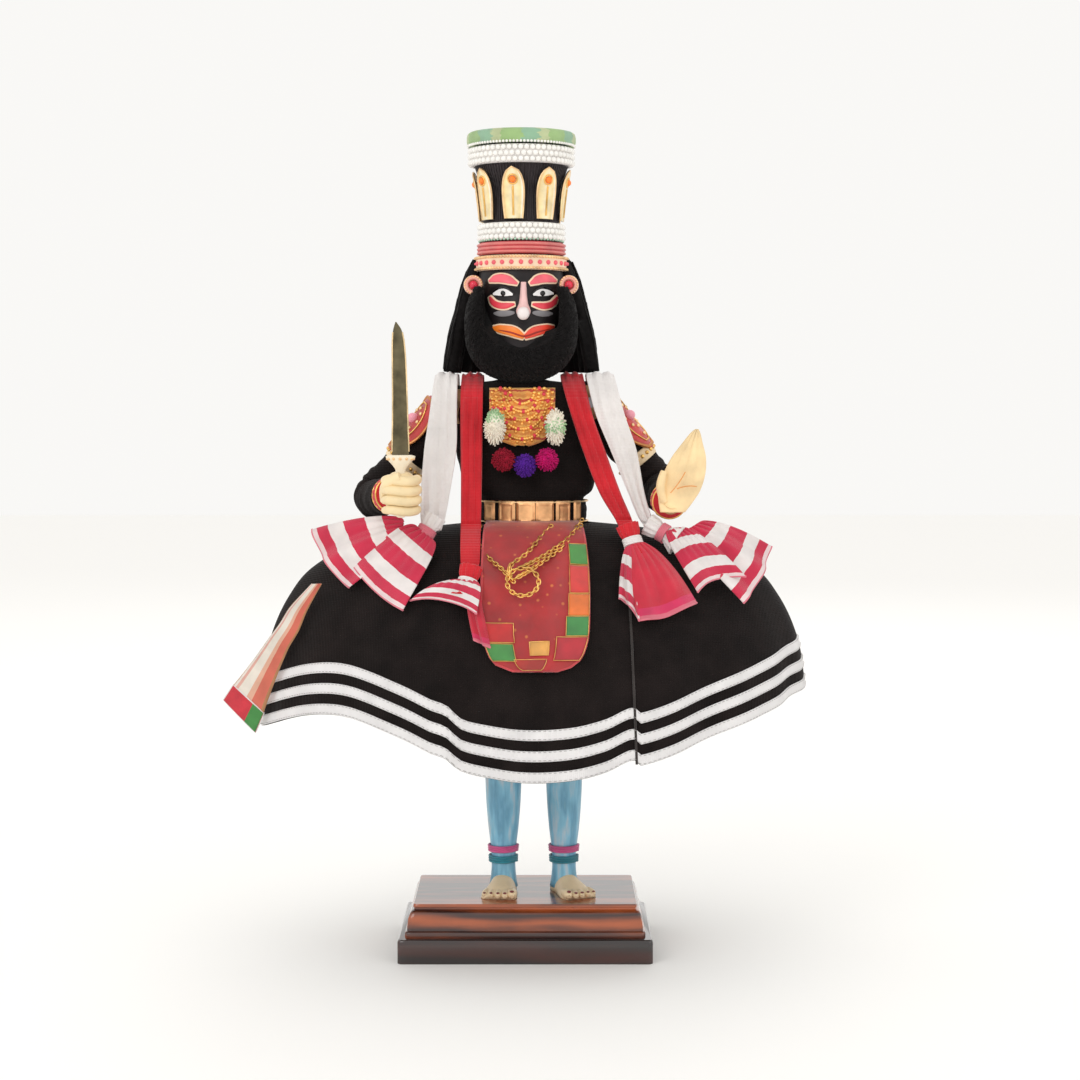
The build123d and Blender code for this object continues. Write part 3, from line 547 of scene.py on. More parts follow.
def skirtFold(turn, z):
    down = max(0.0, (212 - z) / 112)
    wave = 0.55 * sin(9 * turn + 1.1) + 0.45 * sin(14 * turn + 2.9 + 0.01 * z) + 0.35 * sin(23 * turn + 0.7)
    crease = (-2.6 * exp(-((degrees(turn) + 103.5) / 2.6) ** 2)
        + 1.8 * exp(-((degrees(turn) + 108.5) / 3.2) ** 2))
    crease += -1.8 * exp(-((degrees(turn) + 158) / 4.0) ** 2)
    lap = 1.0 / (1 + exp(-(degrees(turn) + 68.6) * 2.2)) if -80 < degrees(turn) < -20 else 0.0
    return (skirtLook["foldDepth"] * wave * down ** 1.6 + crease * down**2
        + 1.1 * lap * down * (1 if degrees(turn) < -40 else max(0.0, (-20 - degrees(turn)) / 20)))


def skirtPoint(turn, z, lift=0.0):
    wide, deep = between(skirtRows, z)
    out = skirtFold(turn, z) + lift
    return skirtLook["middle"] + (wide + out) * cos(turn), (deep + out) * sin(turn), z


def skirtFront(x, z, lift=0.0):
    wide = between(skirtRows, z)[0] + lift
    turn = -acos(max(-0.999, min(0.999, (x - skirtLook["middle"]) / wide)))
    return skirtPoint(turn, z, lift)


def spin(u):
    turn = pi / 2 + u * fullTurn
    return atan2(sin(turn), cos(turn))


def skirtPlace(u, v):
    turn = spin(u)
    hem = hemHeight(skirtLook["middle"] + 136.5 * cos(turn))
    z = 214.2 - (214.2 - hem) * v**1.5
    return skirtPoint(turn, z)


skirt = shapedRing("bellSkirt", 300, 70, skirtPlace, holes=False)
thicken(skirt, 1.2, -1.0)
finishPiece(skirt, "stand", blackCotton, ["skirt"])

tapeWhite = bandedFinish("tapeWhite", [(0.0, (0.86, 0.84, 0.84))], 0.07, counts=(900, 12), rough=0.7)
tapes = []
for number in range(3):
    def tapePlace(u, v, number=number):
        turn = spin(u)
        hem = hemHeight(skirtLook["middle"] + 136.5 * cos(turn))
        z = hem + number * skirtLook["tapeStep"] + 0.15 + v * skirtLook["tapeWidth"]
        return skirtPoint(turn, z, 0.55 - 0.2 * abs(2 * v - 1) ** 4)

    tape = shapedRing("hemTape%d" % number, 300, 6, tapePlace, holes=False)
    thicken(tape, 0.5, -1.0)
    tapes.append(tape)
hemTapes = joinUp("hemTapes", tapes)
finishPiece(hemTapes, "stand", tapeWhite, ["hem_tapes"])

# stitches along both edges of each tape
stitchPaths = []
for number in range(3):
    for edge in (0.7, 4.5):
        for step in range(0, 720, 2):
            turnA = spin(step / 720)
            turnB = spin((step + 1.1) / 720)
            dots = []
            for turn in (turnA, turnB):
                hem = hemHeight(skirtLook["middle"] + 136.5 * cos(turn))
                dots.append(skirtPoint(turn, hem + number * skirtLook["tapeStep"] + 0.15 + edge, 0.72))
            stitchPaths.append(dots)
stitches = threads("hemStitches", stitchPaths, 0.13, 0)
finishPiece(stitches, "stand", clothFinish("greyThread", (0.45, 0.43, 0.42), 0.2, 0.3, 0.4))


def lapPlace(u, v):  # light selvedge of the wrapped panel
    z = 202 - v * (202 - hemHeight(skirtLook["lapX"]) - 0.6)
    x = skirtLook["lapX"] - 1.4 + u * 1.1 - 4.0 * (1 - v)
    return skirtFront(x, z, 0.75)


lapEdge = shapedSheet("skirtLapEdge", 4, 60, lapPlace)
thicken(lapEdge, 0.4, -1.0)
finishPiece(lapEdge, "stand", clothFinish("lapCotton", (0.035, 0.028, 0.026), 0.3))
print("skirt hung")


# jacket and sleeves
armLook = {
    "right": {"pivot": (-36.0, 0.0, 272.0), "elbow": (-77.0, 0.0, 225.5), "wrist": (-62.0, -48.0, 230.5),
        "out": -1},
    "left": {"pivot": (32.0, 0.0, 274.0), "elbow": (68.0, 0.0, 231.0), "wrist": (70.0, -44.0, 225.6),
        "out": 1},
}
jacketRows = [(212, 3.6, 23.8, 19.6), (226.5, 3.4, 25.6, 19.4), (230, 3.0, 30.0, 18.8),
    (238, 1.5, 33.4, 18.6), (250, 0, 34.5, 18.4), (262, -2, 35.2, 17.8)]
jacketRows += [(269, -2, 36.5, 17.2), (275, -2, 36.5, 16.2), (279, -2, 35.0, 15.2), (282.4, -2, 30.5, 14.2),
    (284.3, -2, 20.0, 13.0), (285.2, -2, 12.0, 11.2), (287.4, -2, 8.6, 8.6)]


def torsoPoint(turn, z, lift=0.0):
    middle, wide, deep = between(jacketRows, z)
    square = 1 + 0.10 * sin(2 * turn) ** 2
    crease = 0.45 * sin(z * 0.55 + 3 * turn) * sin(2.0 * turn + 0.4) * (1 if z < 262 else 0.4)
    out = lift + crease
    return middle + (wide * square + out) * cos(turn), (deep * square + out) * sin(turn), z


def torsoFront(x, z, lift=0.0):
    middle, wide, deep = between(jacketRows, z)
    turn = -acos(max(-0.98, min(0.98, (x - middle) / (wide + lift))))
    return torsoPoint(turn, z, lift)


jacket = shapedRing("jacketBody", 96, 90, lambda u, v: torsoPoint(spin(u), 212 + v * 75.4), holes=False)
finishPiece(jacket, "stand", blackCotton, ["jacket"])


def armCentre(look, d):  # d is the way along the arm from the shoulder, with a rounded elbow
    pivot, elbow, wrist = Vector(look["pivot"]), Vector(look["elbow"]), Vector(look["wrist"])
    upper, fore = elbow - pivot, wrist - elbow
    spot = Vector((0, 0, 0))
    for k in range(-4, 5):
        e = d + k * 2.2
        if e <= upper.length:
            spot += pivot + upper.normalized() * e
        else:
            spot += elbow + fore.normalized() * (e - upper.length)
    return spot / 9


def armFrame(look, d):
    ahead = (armCentre(look, d + 1) - armCentre(look, d - 1)).normalized()
    upper = Vector(look["elbow"]) - Vector(look["pivot"])
    fore = Vector(look["wrist"]) - Vector(look["elbow"])
    flat = upper.cross(fore).normalized()
    return armCentre(look, d), flat, ahead.cross(flat).normalized()


def armPoint(look, d, turn, wide):
    spot, one, two = armFrame(look, d)
    return spot + (one * cos(turn) + two * sin(turn)) * wide


sleeveRows = [(-10.9, 0.4), (-10.2, 3.9), (-8.6, 6.8), (-6, 9.1), (-2, 10.7), (2, 10.9), (6, 10.6),
    (12, 10.2), (20, 9.9), (28, 9.9), (34, 9.3), (41, 9.3), (48, 10.2), (57, 10.6), (66, 10.2), (76, 9.2),
    (120, 8.6)]
for side, look in armLook.items():
    reach = ((Vector(look["elbow"]) - Vector(look["pivot"])).length
        + (Vector(look["wrist"]) - Vector(look["elbow"])).length)
    look["bend"] = (Vector(look["elbow"]) - Vector(look["pivot"])).length

    def sleevePlace(u, v, look=look, reach=reach):
        d = -10.9 + v * (reach - 12.6 + 10.9)
        turn = u * fullTurn
        wide = between(sleeveRows, d)[0]
        near = exp(-((d - look["bend"]) / 15) ** 2)
        if d > -6:
            wide += 0.5 * near * sin(d * 1.15 + 1.3 * sin(turn)) + 0.28 * sin(d * 0.5 + 2 * turn)
        return armPoint(look, d, turn, wide)

    sleeve = shapedRing(side + "Sleeve", 40, 110, sleevePlace)
    finishPiece(sleeve, side + "_arm", sleeveCotton, [side + "_sleeve"])

    def bandPlace(u, v, look=look, low=0.0, high=1.0, wide=8.6, puff=0.0, ridges=0.0):
        turn = u * fullTurn
        d = low + (high - low) * v
        out = wide + puff * sin(pi * v) + ridges * sin(pi * v) * abs(sin(9 * turn))
        return armPoint(look, d, turn, out)

    cuff = shapedRing(side + "Cuff", 54, 16, lambda u, v:
        bandPlace(u, v, look, reach - 13, reach - 5, 7.8, 0.8, 0.5))
    finishPiece(cuff, side + "_arm", redCotton, [side + "_cuff"])
    rims = threads(side + "CuffRims", [[tuple(armPoint(look, reach - 13 + k, step / 30 * fullTurn, 8.2))
        for step in range(30)] for k in (0.6, 7.4)], 0.5, 1, closed=True)
    finishPiece(rims, side + "_arm", gilt)
    armlet = shapedRing(side + "Armlet", 54, 12, lambda u, v: bandPlace(u, v, look, 34, 40, 9.9, 0.7, 0.0))
    finishPiece(armlet, side + "_arm", creamPaint, [side + "_armlet"])
    spots = [tuple(armPoint(look, 37, step / 20 * fullTurn, 10.7)) for step in range(20)]
    studs = beads(side + "ArmletBeads", spots, 1.0)
    finishPiece(studs, side + "_arm", gilt)

    # leaf shaped shoulder guard lying along the outside of the upper arm
    def guardPlace(u, v, look=look, lift=0.0, trim=1.0):
        d = 20 + (v - 0.5) * 34 * trim
        spread = (1 - abs(2 * v - 1) ** 2.2) ** 0.75 * 0.92 * trim + 0.02
        turn = (u - 0.5) * 2 * spread
        spot = armFrame(look, min(d, 44))[0]
        outward = Vector((look["out"] * 0.75, -0.42, 0.5)).normalized()
        along = (armCentre(look, 21) - armCentre(look, 19)).normalized()
        sideways = along.cross(outward).normalized()
        upright = sideways.cross(along).normalized()
        if upright.dot(outward) < 0:
            upright = -upright
        wide = between(sleeveRows, d)[0] + 1.5 + lift
        return spot + (upright * cos(turn) + sideways * sin(turn)) * wide

    guard = shapedSheet(side + "Guard", 22, 34, lambda u, v: guardPlace(u, v, look))
    thicken(guard, 1.1, 0.0)
    finishPiece(guard, side + "_arm", guardSatin, [side + "_shoulder_boss"])
    edgeLine = ([tuple(guardPlace(0.0, k / 20, look, 0.6)) for k in range(1, 20)]
        + [tuple(guardPlace(1.0, k / 20, look, 0.6)) for k in range(19, 0, -1)])
    rim = threads(side + "GuardRim", [edgeLine], 0.85, 2, closed=True)
    finishPiece(rim, side + "_arm", copperCord)
    innerLine = ([tuple(guardPlace(0.14, k / 20, look, 0.8, 0.8)) for k in range(1, 20)]
        + [tuple(guardPlace(0.86, k / 20, look, 0.8, 0.8)) for k in range(19, 0, -1)])
    innerRim = threads(side + "GuardCord", [innerLine], 0.4, 1, closed=True)
    finishPiece(innerRim, side + "_arm", gilt)
    boss = beads(side + "GuardBoss", [tuple(guardPlace(0.5, t, look, 0.9)) for t in (0.42,)], 2.9, 0.9)
    finishPiece(boss, side + "_arm", rosePaint)
    small = beads(side + "GuardStuds", [tuple(guardPlace(0.5 + s, t, look, 0.7)) for s,
        t in ((0, 0.24), (0, 0.62), (0, 0.76), (0.22, 0.42), (-0.22, 0.42), (0.15, 0.56), (-0.15, 0.56),
        (0.16, 0.3), (-0.16, 0.3))], 1.0)
    finishPiece(small, side + "_arm", giltPale)
print("jacket and sleeves sewn")

# the fist and the open hand
fistLook = {"low": 220.0, "tall": 22}
skinPaint = paintFinish("skinPaint", (0.86, 0.68, 0.40), 0.1, 0.42)


def palmPlace(u, v):
    turn = u * fullTurn
    z = fistLook["low"] + v * fistLook["tall"]
    round_ = max(0.02, 1 - (2 * v - 1) ** 4) ** 0.5
    return -58.5 + 7.4 * round_ * cos(turn), -58.0 + 8.4 * round_ * sin(turn) + 1.0, z


palm = shapedRing("fistPalm", 32, 22, palmPlace)
fingers = [palm]
for number in range(4):
    z = 223.4 + number * 4.7
    thick = (2.2, 2.5, 2.6, 2.5)[number]
    path = []
    for step in range(9):
        turn = radians(200 + step * 22)
        path.append((-58.5 + 8.0 * cos(turn), -59.5 + 9.0 * sin(turn), z + 0.5 * sin(step),
            1.0 if 0 < step < 8 else 0.75))
    fingers.append(threads("curledFinger%d" % number, [path], thick, 4, curl="NURBS"))
thumb = [(-66.0, -58, 228, 0.9), (-66.2, -62, 233, 1.0), (-63.5, -67.5, 237.5, 1.0),
    (-58, -69.2, 239.5, 0.85)]
fingers.append(threads("fistThumb", [thumb], 2.7, 4, curl="NURBS"))
wristPath = [(-62, -46, 230.5, 0.95), (-61, -51, 230.8, 0.95), (-59.8, -55, 231, 1.1)]
fingers.append(threads("fistWrist", [wristPath], 5.4, 5, curl="NURBS"))
fist = joinUp("swordFist", fingers)
finishPiece(fist, "right_arm", skinPaint, ["right_fist"])
nails = beads("fistNails", [(-51.6, -64.0, 223.6 + number * 4.7) for number in range(4)], 1.1)
finishPiece(nails, "right_arm", nailPaint)

handRows = [(221.6, 64.8, 76.8), (226, 64.1, 80.2), (232, 63.8, 84.0), (240, 66.2, 86.4), (248, 70.2, 86.6),
    (255, 75.4, 84.9), (259.5, 79.0, 83.8), (261.4, 81.2, 82.9)]


def handPlace(u, v, push=0.0):
    z = 221.6 + v * 39.8
    inner, outer = between(handRows, z)
    turn = u * fullTurn
    s = (1 - cos(turn)) / 2
    front = sin(turn)
    grooves = 0.55 * max(0.0, cos(s * 4 * fullTurn)) ** 6 * min(1, max(0, (z - 233) / 6))
    thick = 2.5 * abs(front) ** 0.6 * (1 - 0.35 * v)
    y = -44.6 - copysign(thick - grooves * (abs(front) > 0.3), front)
    curl = -2.2 * v * v
    return inner + (outer - inner) * s, y + curl, z


flatHand = shapedRing("raisedHand", 64, 60, handPlace)
handWrist = threads("raisedWrist", [[(70, -40, 225.6, 0.95), (70.2, -43.5, 225.8, 0.95),
    (70.6, -45, 227, 0.85)]], 5.3, 5, curl="NURBS")
handThumb = threads("raisedThumb", [[(66.5, -46, 227, 0.9), (64.5, -48.5, 232, 1.0), (65.2, -49.5, 238, 0.95),
    (66.4, -49.3, 241.5, 0.7)]], 2.2, 4, curl="NURBS")
hand = joinUp("openHand", [flatHand, handWrist, handThumb])
finishPiece(hand, "left_arm", palmPaint)
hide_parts("left_hand")
# ochre lines along the palm creases are painted shade, where shadow falls into the creases
creaseShadeLines = [[(69.5, -49.0, 231), (74, -49.4, 236), (76.5, -49.2, 241)],
    [(72.5, -49.3, 233), (78, -49.2, 235), (82, -48.6, 234)]]
palmCreaseShade = threads("palmCreaseShade", creaseShadeLines, 0.28, 1, curl="NURBS")
finishPiece(palmCreaseShade, "left_arm", paintFinish("creaseShadeOchre", (0.75, 0.30, 0.08), 0.1, 0.5))

# the sword
swordLook = {"x": -58.5, "y": -60.0, "bladeLow": 249.3, "bladeLong": 62.5}
bladeRows = [(249.3, 4.0, 0.0), (254, 3.9, 0.0), (270, 3.5, -0.1), (290, 3.2, -0.4), (302, 2.8, -0.8),
    (308, 2.0, -1.2), (311.8, 0.25, -1.9)]


def bladePlace(u, v):
    z = swordLook["bladeLow"] + v * swordLook["bladeLong"]
    half, sway = between(bladeRows, z)
    turn = u * fullTurn
    x = half * cos(turn)
    y = 0.95 * (1 - abs(cos(turn))) ** 0.8 * copysign(1, sin(turn)) * min(1, half / 2)
    return swordLook["x"] + sway + x, swordLook["y"] + y, z


bladeFinish, tree, shader = startFinish("bladePaint", 0.34, 0.75)
place = patchyColour(tree, shader, (0.12, 0.10, 0.055), 0.4, 160)[0]
pull = addNode(tree, "ShaderNodeMapping")
pull.inputs["Scale"].default_value = (8, 8, 0.6)
wire(tree, place, "Object", pull, "Vector")
scratch = addNode(tree, "ShaderNodeTexNoise", Scale=160.0, Detail=4.0)
wire(tree, pull, "Vector", scratch, "Vector")
roughen(tree, shader, scratch, "Fac", 0.25, 0.0003)
blade = shapedRing("swordBlade", 24, 60, bladePlace)
finishPiece(blade, "sword", bladeFinish, ["sword_blade"], soft=30)
brassEdges = []
for sign in (-1, 1):
    brassEdges.append([(swordLook["x"] + between(bladeRows, z)[1] + sign * between(bladeRows, z)[0],
        swordLook["y"], z) for z in range(251, 311, 4)])
edges = threads("bladeEdges", brassEdges, 0.42, 1)
finishPiece(edges, "sword", brassEdge)


def hiltPlace(u, v):
    rows = [(219.6, 0.6, 0.6), (220.2, 2.0, 2.0), (221, 2.35, 2.35), (242.0, 2.35, 2.35), (243.0, 2.7, 2.3),
        (245, 4.2, 2.6), (247.2, 6.2, 3.0), (248.4, 7.0, 3.2), (249.1, 6.7, 3.0), (249.4, 5.2, 2.2)]
    z = 219.8 + v * 29.6
    wide, deep = between(rows, z)
    turn = u * fullTurn
    return swordLook["x"] + wide * cos(turn), swordLook["y"] + deep * sin(turn), z


hilt = shapedRing("swordHilt", 32, 60, hiltPlace)
finishPiece(hilt, "sword", bonePaint, ["sword_hilt"])
guardBeads = beads("hiltStuds", [(swordLook["x"] + 6.2 * cos(t / 12 * fullTurn),
    swordLook["y"] + 3.0 * sin(t / 12 * fullTurn), 247.6) for t in range(12)], 0.7)
finishPiece(guardBeads, "sword", giltPale)
print("hands and sword carved")

# the painted head
headLook = {"x": -2.0}
headRows = [(288, -1, 9.0, 9.6), (291, -2, 12.5, 14.0), (296, -3, 15.0, 17.5), (302, -3.2, 17.6, 19.8),
    (308, -3, 19.5, 21.4), (320, -2, 21.3, 22.8), (332, -1, 21.8, 22.3), (342, -1, 20.4, 20.4),
    (346.4, -1, 19.4, 19.4)]


def headPoint(turn, z, lift=0.0):
    back, wide, deep = between(headRows, z)
    front = max(0.0, -sin(turn)) ** 2
    side = cos(turn)
    eyes = exp(-((abs(side) - 0.42) / 0.22) ** 2)
    form = (1.2 * exp(-((z - 331.5) / 3.0) ** 2) * (0.5 + 0.5 * eyes)
        - 1.5 * eyes * exp(-((z - 326.6) / 3.0) ** 2))
    form += 0.9 * exp(-((z - 318.5) / 4.0) ** 2) * exp(-((abs(side) - 0.55) / 0.25) ** 2)
    form += (1.3 * exp(-((z - 308.3) / 3.4) ** 2) * exp(-(side / 0.5) ** 2)
        + 1.2 * exp(-((z - 297) / 4) ** 2) * exp(-(side / 0.4) ** 2))
    out = form * front + lift
    return headLook["x"] + (wide + out) * cos(turn), back + (deep + out) * sin(turn), z


def facePoint(x, z, lift=0.0):
    wide = between(headRows, z)[1]
    turn = -acos(max(-0.99, min(0.99, (x - headLook["x"]) / wide)))
    return headPoint(turn, z, lift)


facePaint = paintFinish("faceBlack", (0.014, 0.011, 0.012), 0.4, 0.4)
facePaint.node_tree.nodes["Principled BSDF"].inputs["Specular IOR Level"].default_value = 0.25
head = shapedRing("carvedHead", 120, 110, lambda u, v: headPoint(spin(u), 288 + v * 58.4))
finishPiece(head, "head", facePaint, ["head_core"])


def nosePlace(u, v):
    z = 332.5 - v * 17.0
    wide, deep, middle = between([(315.5, 1.2, 1.0, -26.4), (316.6, 3.0, 2.4, -26.6),
        (318.5, 3.5, 3.0, -26.4), (322, 2.3, 3.0, -25.2), (327, 1.7, 2.6, -23.6), (332.5, 1.6, 1.6, -22.8)], z)
    turn = u * fullTurn
    return -0.8 + wide * cos(turn), middle + deep * sin(turn), z


rosyPaint = paintFinish("bridgePink", (0.80, 0.50, 0.48), 0.16, 0.4)
nose = shapedRing("carvedNose", 28, 34, nosePlace)
finishPiece(nose, "head", rosyPaint)


def faceStroke(name, path, finish, lift, widen=0.0, ends=0.35):  # path rows are (x, z, half width)
    def strokePlace(u, v):
        x, z, half = alongPath(path, v)
        ahead = alongPath(path, min(1, v + 0.02))
        behind = alongPath(path, max(0, v - 0.02))
        dx, dz = ahead[0] - behind[0], ahead[1] - behind[1]
        length = hypot(dx, dz) or 1
        taper = ends + (1 - ends) * min(1, 4.5 * v, 4.5 * (1 - v)) ** 0.6
        off = (2 * u - 1) * (half * taper + widen)
        dome = 0.12 * (1 - (2 * u - 1) ** 2)
        over = (2 * v - 1) * widen * 1.2 / length * 0.5
        return facePoint(x - dz / length * off + dx * over, z + dx / length * off + dz * over, lift + dome)

    stroke = shapedSheet(name, 10, 40, strokePlace)
    thicken(stroke, 0.24, -1.0)
    finishPiece(stroke, "head", finish)


crimson = paintFinish("crimsonPaint", (0.72, 0.045, 0.07), 0.14, 0.35)
coral = paintFinish("coralPaint", (0.85, 0.13, 0.17), 0.14, 0.35)
orange = paintFinish("orangePaint", (0.92, 0.22, 0.02), 0.14, 0.35)
ivory = paintFinish("ivoryPaint", (0.90, 0.68, 0.48), 0.08, 0.4)
eyeWhite = paintFinish("eyeWhite", (0.86, 0.84, 0.84), 0.05, 0.3)
pupilBlack = paintFinish("pupilBlack", (0.006, 0.005, 0.006), 0.2, 0.15)
cheekHighlightGrey = paintFinish("cheekHighlightGrey", (0.20, 0.19, 0.20), 0.25, 0.4)
upperLeft = [(-17.2, 333.2, 1.1), (-13.5, 334.4, 1.9), (-9.0, 334.0, 2.0), (-3.6, 331.6, 1.2)]
upperRight = [(2.2, 331.6, 1.2), (6.8, 334.0, 2.0), (11.0, 334.4, 1.9), (14.9, 333.2, 1.1)]
lowerLeft = [(-17.2, 325.6, 0.9), (-15.0, 322.4, 1.3), (-10.6, 320.9, 1.5), (-5.0, 321.7, 1.1)]
lowerRight = [(3.4, 321.7, 1.1), (9.0, 320.9, 1.5), (13.2, 322.3, 1.3), (15.6, 325.8, 0.9)]
for name, path in (("upperLeft", upperLeft), ("upperRight", upperRight), ("lowerLeft", lowerLeft),
        ("lowerRight", lowerRight)):
    faceStroke(name + "Edge", path, ivory, 0.26, 0.75)
    faceStroke(name + "Fill", path, coral if name.startswith("upper") else crimson, 0.5)
faceStroke("leftEye", [(-15.6, 326.7, 0.8), (-12.5, 327.6, 1.7), (-9.5, 327.5, 1.8), (-6.0, 326.3, 0.8)],
    eyeWhite, 0.3)
faceStroke("rightEye", [(4.0, 326.3, 0.8), (7.4, 327.5, 1.8), (10.4, 327.6, 1.7), (13.6, 327.2, 0.8)],
    eyeWhite, 0.3)
faceStroke("leftLid", [(-16.4, 327.2, 0.5), (-12.5, 329.4, 0.7), (-9.0, 329.4, 0.7), (-5.0, 326.6, 0.5)],
    pupilBlack, 0.5)
faceStroke("rightLid", [(3.0, 326.6, 0.5), (7.0, 329.4, 0.7), (10.6, 329.4, 0.7), (14.4, 327.6, 0.5)],
    pupilBlack, 0.5)
pupils = [beads("pupil", [facePoint(x, 327.2, 0.05)], 1.55) for x in (-10.9, 8.7)]
finishPiece(joinUp("pupils", pupils), "head", pupilBlack)
# grey patches on the black cheeks are painted highlight, where the cheek bulges catch the light
faceStroke("leftCheekHighlight", [(-15.0, 317.4, 0.9), (-10.5, 317.2, 1.5), (-5.0, 317.6, 1.1)], cheekHighlightGrey, 0.25)
faceStroke("rightCheekHighlight", [(3.4, 317.6, 1.1), (8.5, 317.2, 1.5), (13.2, 317.4, 0.9)], cheekHighlightGrey, 0.25)
mouthLeft = [(-15.6, 310.4, 1.2), (-11.0, 309.6, 2.0), (-5.5, 308.4, 2.3), (-0.6, 305.6, 1.6)]
mouthRight = [(-0.4, 305.6, 1.6), (4.4, 308.4, 2.3), (9.6, 309.8, 2.0), (14.0, 310.8, 1.2)]
faceStroke("mouthEdgeLeft", mouthLeft, ivory, 0.3, 0.7, 0.5)
faceStroke("mouthEdgeRight", mouthRight, ivory, 0.3, 0.7, 0.5)
# the left half of the red mouth is painted lighter orange than the vermilion right half: painted light on the
# side facing the lamp
faceStroke("mouthLeft", mouthLeft, orange, 0.62, 0.0, 0.5)
faceStroke("mouthRight", mouthRight, paintFinish("vermilion", (0.84, 0.06, 0.03), 0.14, 0.35), 0.62, 0.0, 0.5)
faceStroke("lipSplit", [(-12.5, 309.3, 0.28), (-6.5, 308.0, 0.4), (-0.5, 306.2, 0.4), (5.5, 308.2, 0.4),
    (11.5, 309.9, 0.28)], paintFinish("lipDark", (0.35, 0.02, 0.01), 0.2, 0.4), 0.9)
noseWhite = paintFinish("noseWhite", (0.84, 0.76, 0.74), 0.05, 0.3)
bead = beads("noseBead", [(-0.8, -30.9, 317.0)], 3.25)
soften(bead)
finishPiece(bead, "head", noseWhite, ["nose_ball"])

# round ear ornaments: dished ring with a red stone
for name, x in (("right", -25.4), ("left", 21.4)):
    def discPlace(u, v, x=x):
        rows = [(0.0, 0.01, -15.4), (0.12, 1.6, -15.5), (0.24, 2.3, -15.6), (0.36, 2.7, -16.9),
            (0.5, 3.5, -17.3), (0.64, 4.4, -16.9), (0.78, 4.6, -15.4), (0.9, 4.4, -13.4), (1.0, 0.01, -13.0)]
        wide, y = between(rows, v)
        turn = u * fullTurn
        return x + wide * cos(turn), y, 331.5 + wide * sin(turn)

    disc = shapedRing(name + "EarDisc", 40, 40, discPlace, holes=False)
    finishPiece(disc, "head", earPink, ["ear_discs"] if name == "right" else ())
    stone = beads(name + "EarStone", [(x, -16.0, 331.5)], 2.1)
    finishPiece(stone, "head", rubyGlass)
    ring = beads(name + "EarBeads", [(x + 4.1 * cos(t / 20 * fullTurn), -17.0,
        331.5 + 4.1 * sin(t / 20 * fullTurn)) for t in range(20)], 0.55)
    finishPiece(ring, "head", giltPale)
print("head painted")

# hair and beard
hairRows = [(289.6, 4, 37.7, 27.6), (306, 4, 35, 27), (322, 3, 31, 26.5), (336, 2, 27.0, 24.5),
    (344, 1, 23.6, 22.4), (346.2, 0, 21.0, 20.4)]


def hairPoint(turn, z, lift=0.0):
    back, wide, deep = between(hairRows, z)
    lock = 0.8 * sin(17 * turn + 0.04 * z) + 0.5 * sin(31 * turn + 1 + 0.06 * z)
    y = back + (deep + lift + lock) * sin(turn)
    return headLook["x"] + (wide + lift + lock) * cos(turn), y, z


def hairPlace(u, v):  # closed shell from the right temple round the back to the left temple
    z = 346.2 - v * 56.7
    turn = radians(-12 + 204 * u)
    return hairPoint(turn, z, 0)


hairShell = shapedSheet("hairShell", 120, 44, hairPlace)
thicken(hairShell, 5.0, -1.0)
locks = []
for number in range(330):
    turn = radians(-11 + 202 * (number + dice.random()) / 330)
    start = 345.5 - dice.random() ** 2 * 22
    stop = 289.6 + dice.random() * 2.5
    wave = dice.uniform(0, 6.28)
    locks.append([])
    for step in range(9):
        z = start + (stop - start) * step / 8
        sway = 0.012 * sin(step * 0.9 + wave)
        x, y, z = hairPoint(turn + sway, z, 0.35 + 0.35 * sin(step * 1.3 + wave))
        locks[-1].append((x, y, z, 1.0 if step < 7 else 0.8 - 0.3 * (step - 7)))
strands = threads("hairStrands", locks, 0.62, 0)
hair = joinUp("longHair", [hairShell, strands])
finishPiece(hair, "head", blackWool, ["hair"])

beardInner = [(-17.5, 330), (-18.4, 321), (-18.0, 311.5), (-14.5, 304.5), (-7.5, 300.8), (0, 299.8),
    (7.5, 300.8), (14.5, 304.5), (18.0, 311.5), (18.4, 321), (17.5, 330)]
beardOuter = [(-23.5, 330), (-27.0, 321), (-27.9, 310), (-25.6, 297.6), (-16.5, 287.4), (0, 283.3),
    (16.5, 287.4), (25.6, 297.6), (27.9, 310), (27.0, 321), (23.5, 330)]


def beardPoint(t, s, lift=0.0):  # t round the jaw, s from the face outwards
    ix, iz = alongPath(beardInner, t)
    ox, oz = alongPath(beardOuter, t)
    puff = sin(pi * min(1, max(0, s * 0.86 + 0.14))) ** 0.7
    y = -21.0 - 4.6 * puff + 8.0 * s**3 - lift * (1 - s * 0.5)
    return headLook["x"] + ix + (ox - ix) * s, y, iz + (oz - iz) * s


def beardPlace(u, v):
    a = u * fullTurn
    s = (1 - cos(a)) / 2
    if sin(a) >= 0:
        return beardPoint(v, s)
    x, y, z = beardPoint(v, s)
    return x, -9.0 - 4 * (1 - abs(sin(a))), z


beardBase = shapedRing("beardBase", 36, 80, beardPlace)
curls = []
for number in range(620):
    t = dice.random()
    first = dice.uniform(-0.05, 0.62)
    last = min(1.0, first + dice.uniform(0.3, 0.55))
    wave = dice.uniform(0, 6.28)
    row = []
    for step in range(6):
        s = first + (last - first) * step / 5
        x, y, z = beardPoint(min(1, max(0, t + 0.012 * sin(step * 1.7 + wave))), min(1, max(0.0, s)),
            0.15 + 0.55 * sin(step * 2.1 + wave))
        row.append((x, y, z, 1.0 if 0 < step < 5 else 0.5))
    curls.append(row)
beardCurls = threads("beardCurls", curls, 0.55, 0)
beard = joinUp("woolBeard", [beardBase, beardCurls])
finishPiece(beard, "head", blackWool, ["beard"])
print("hair and beard combed")

# the crown
crownLook = {"x": -2.0, "y": -1.0, "petals": 8, "petalTurn": -10.0}


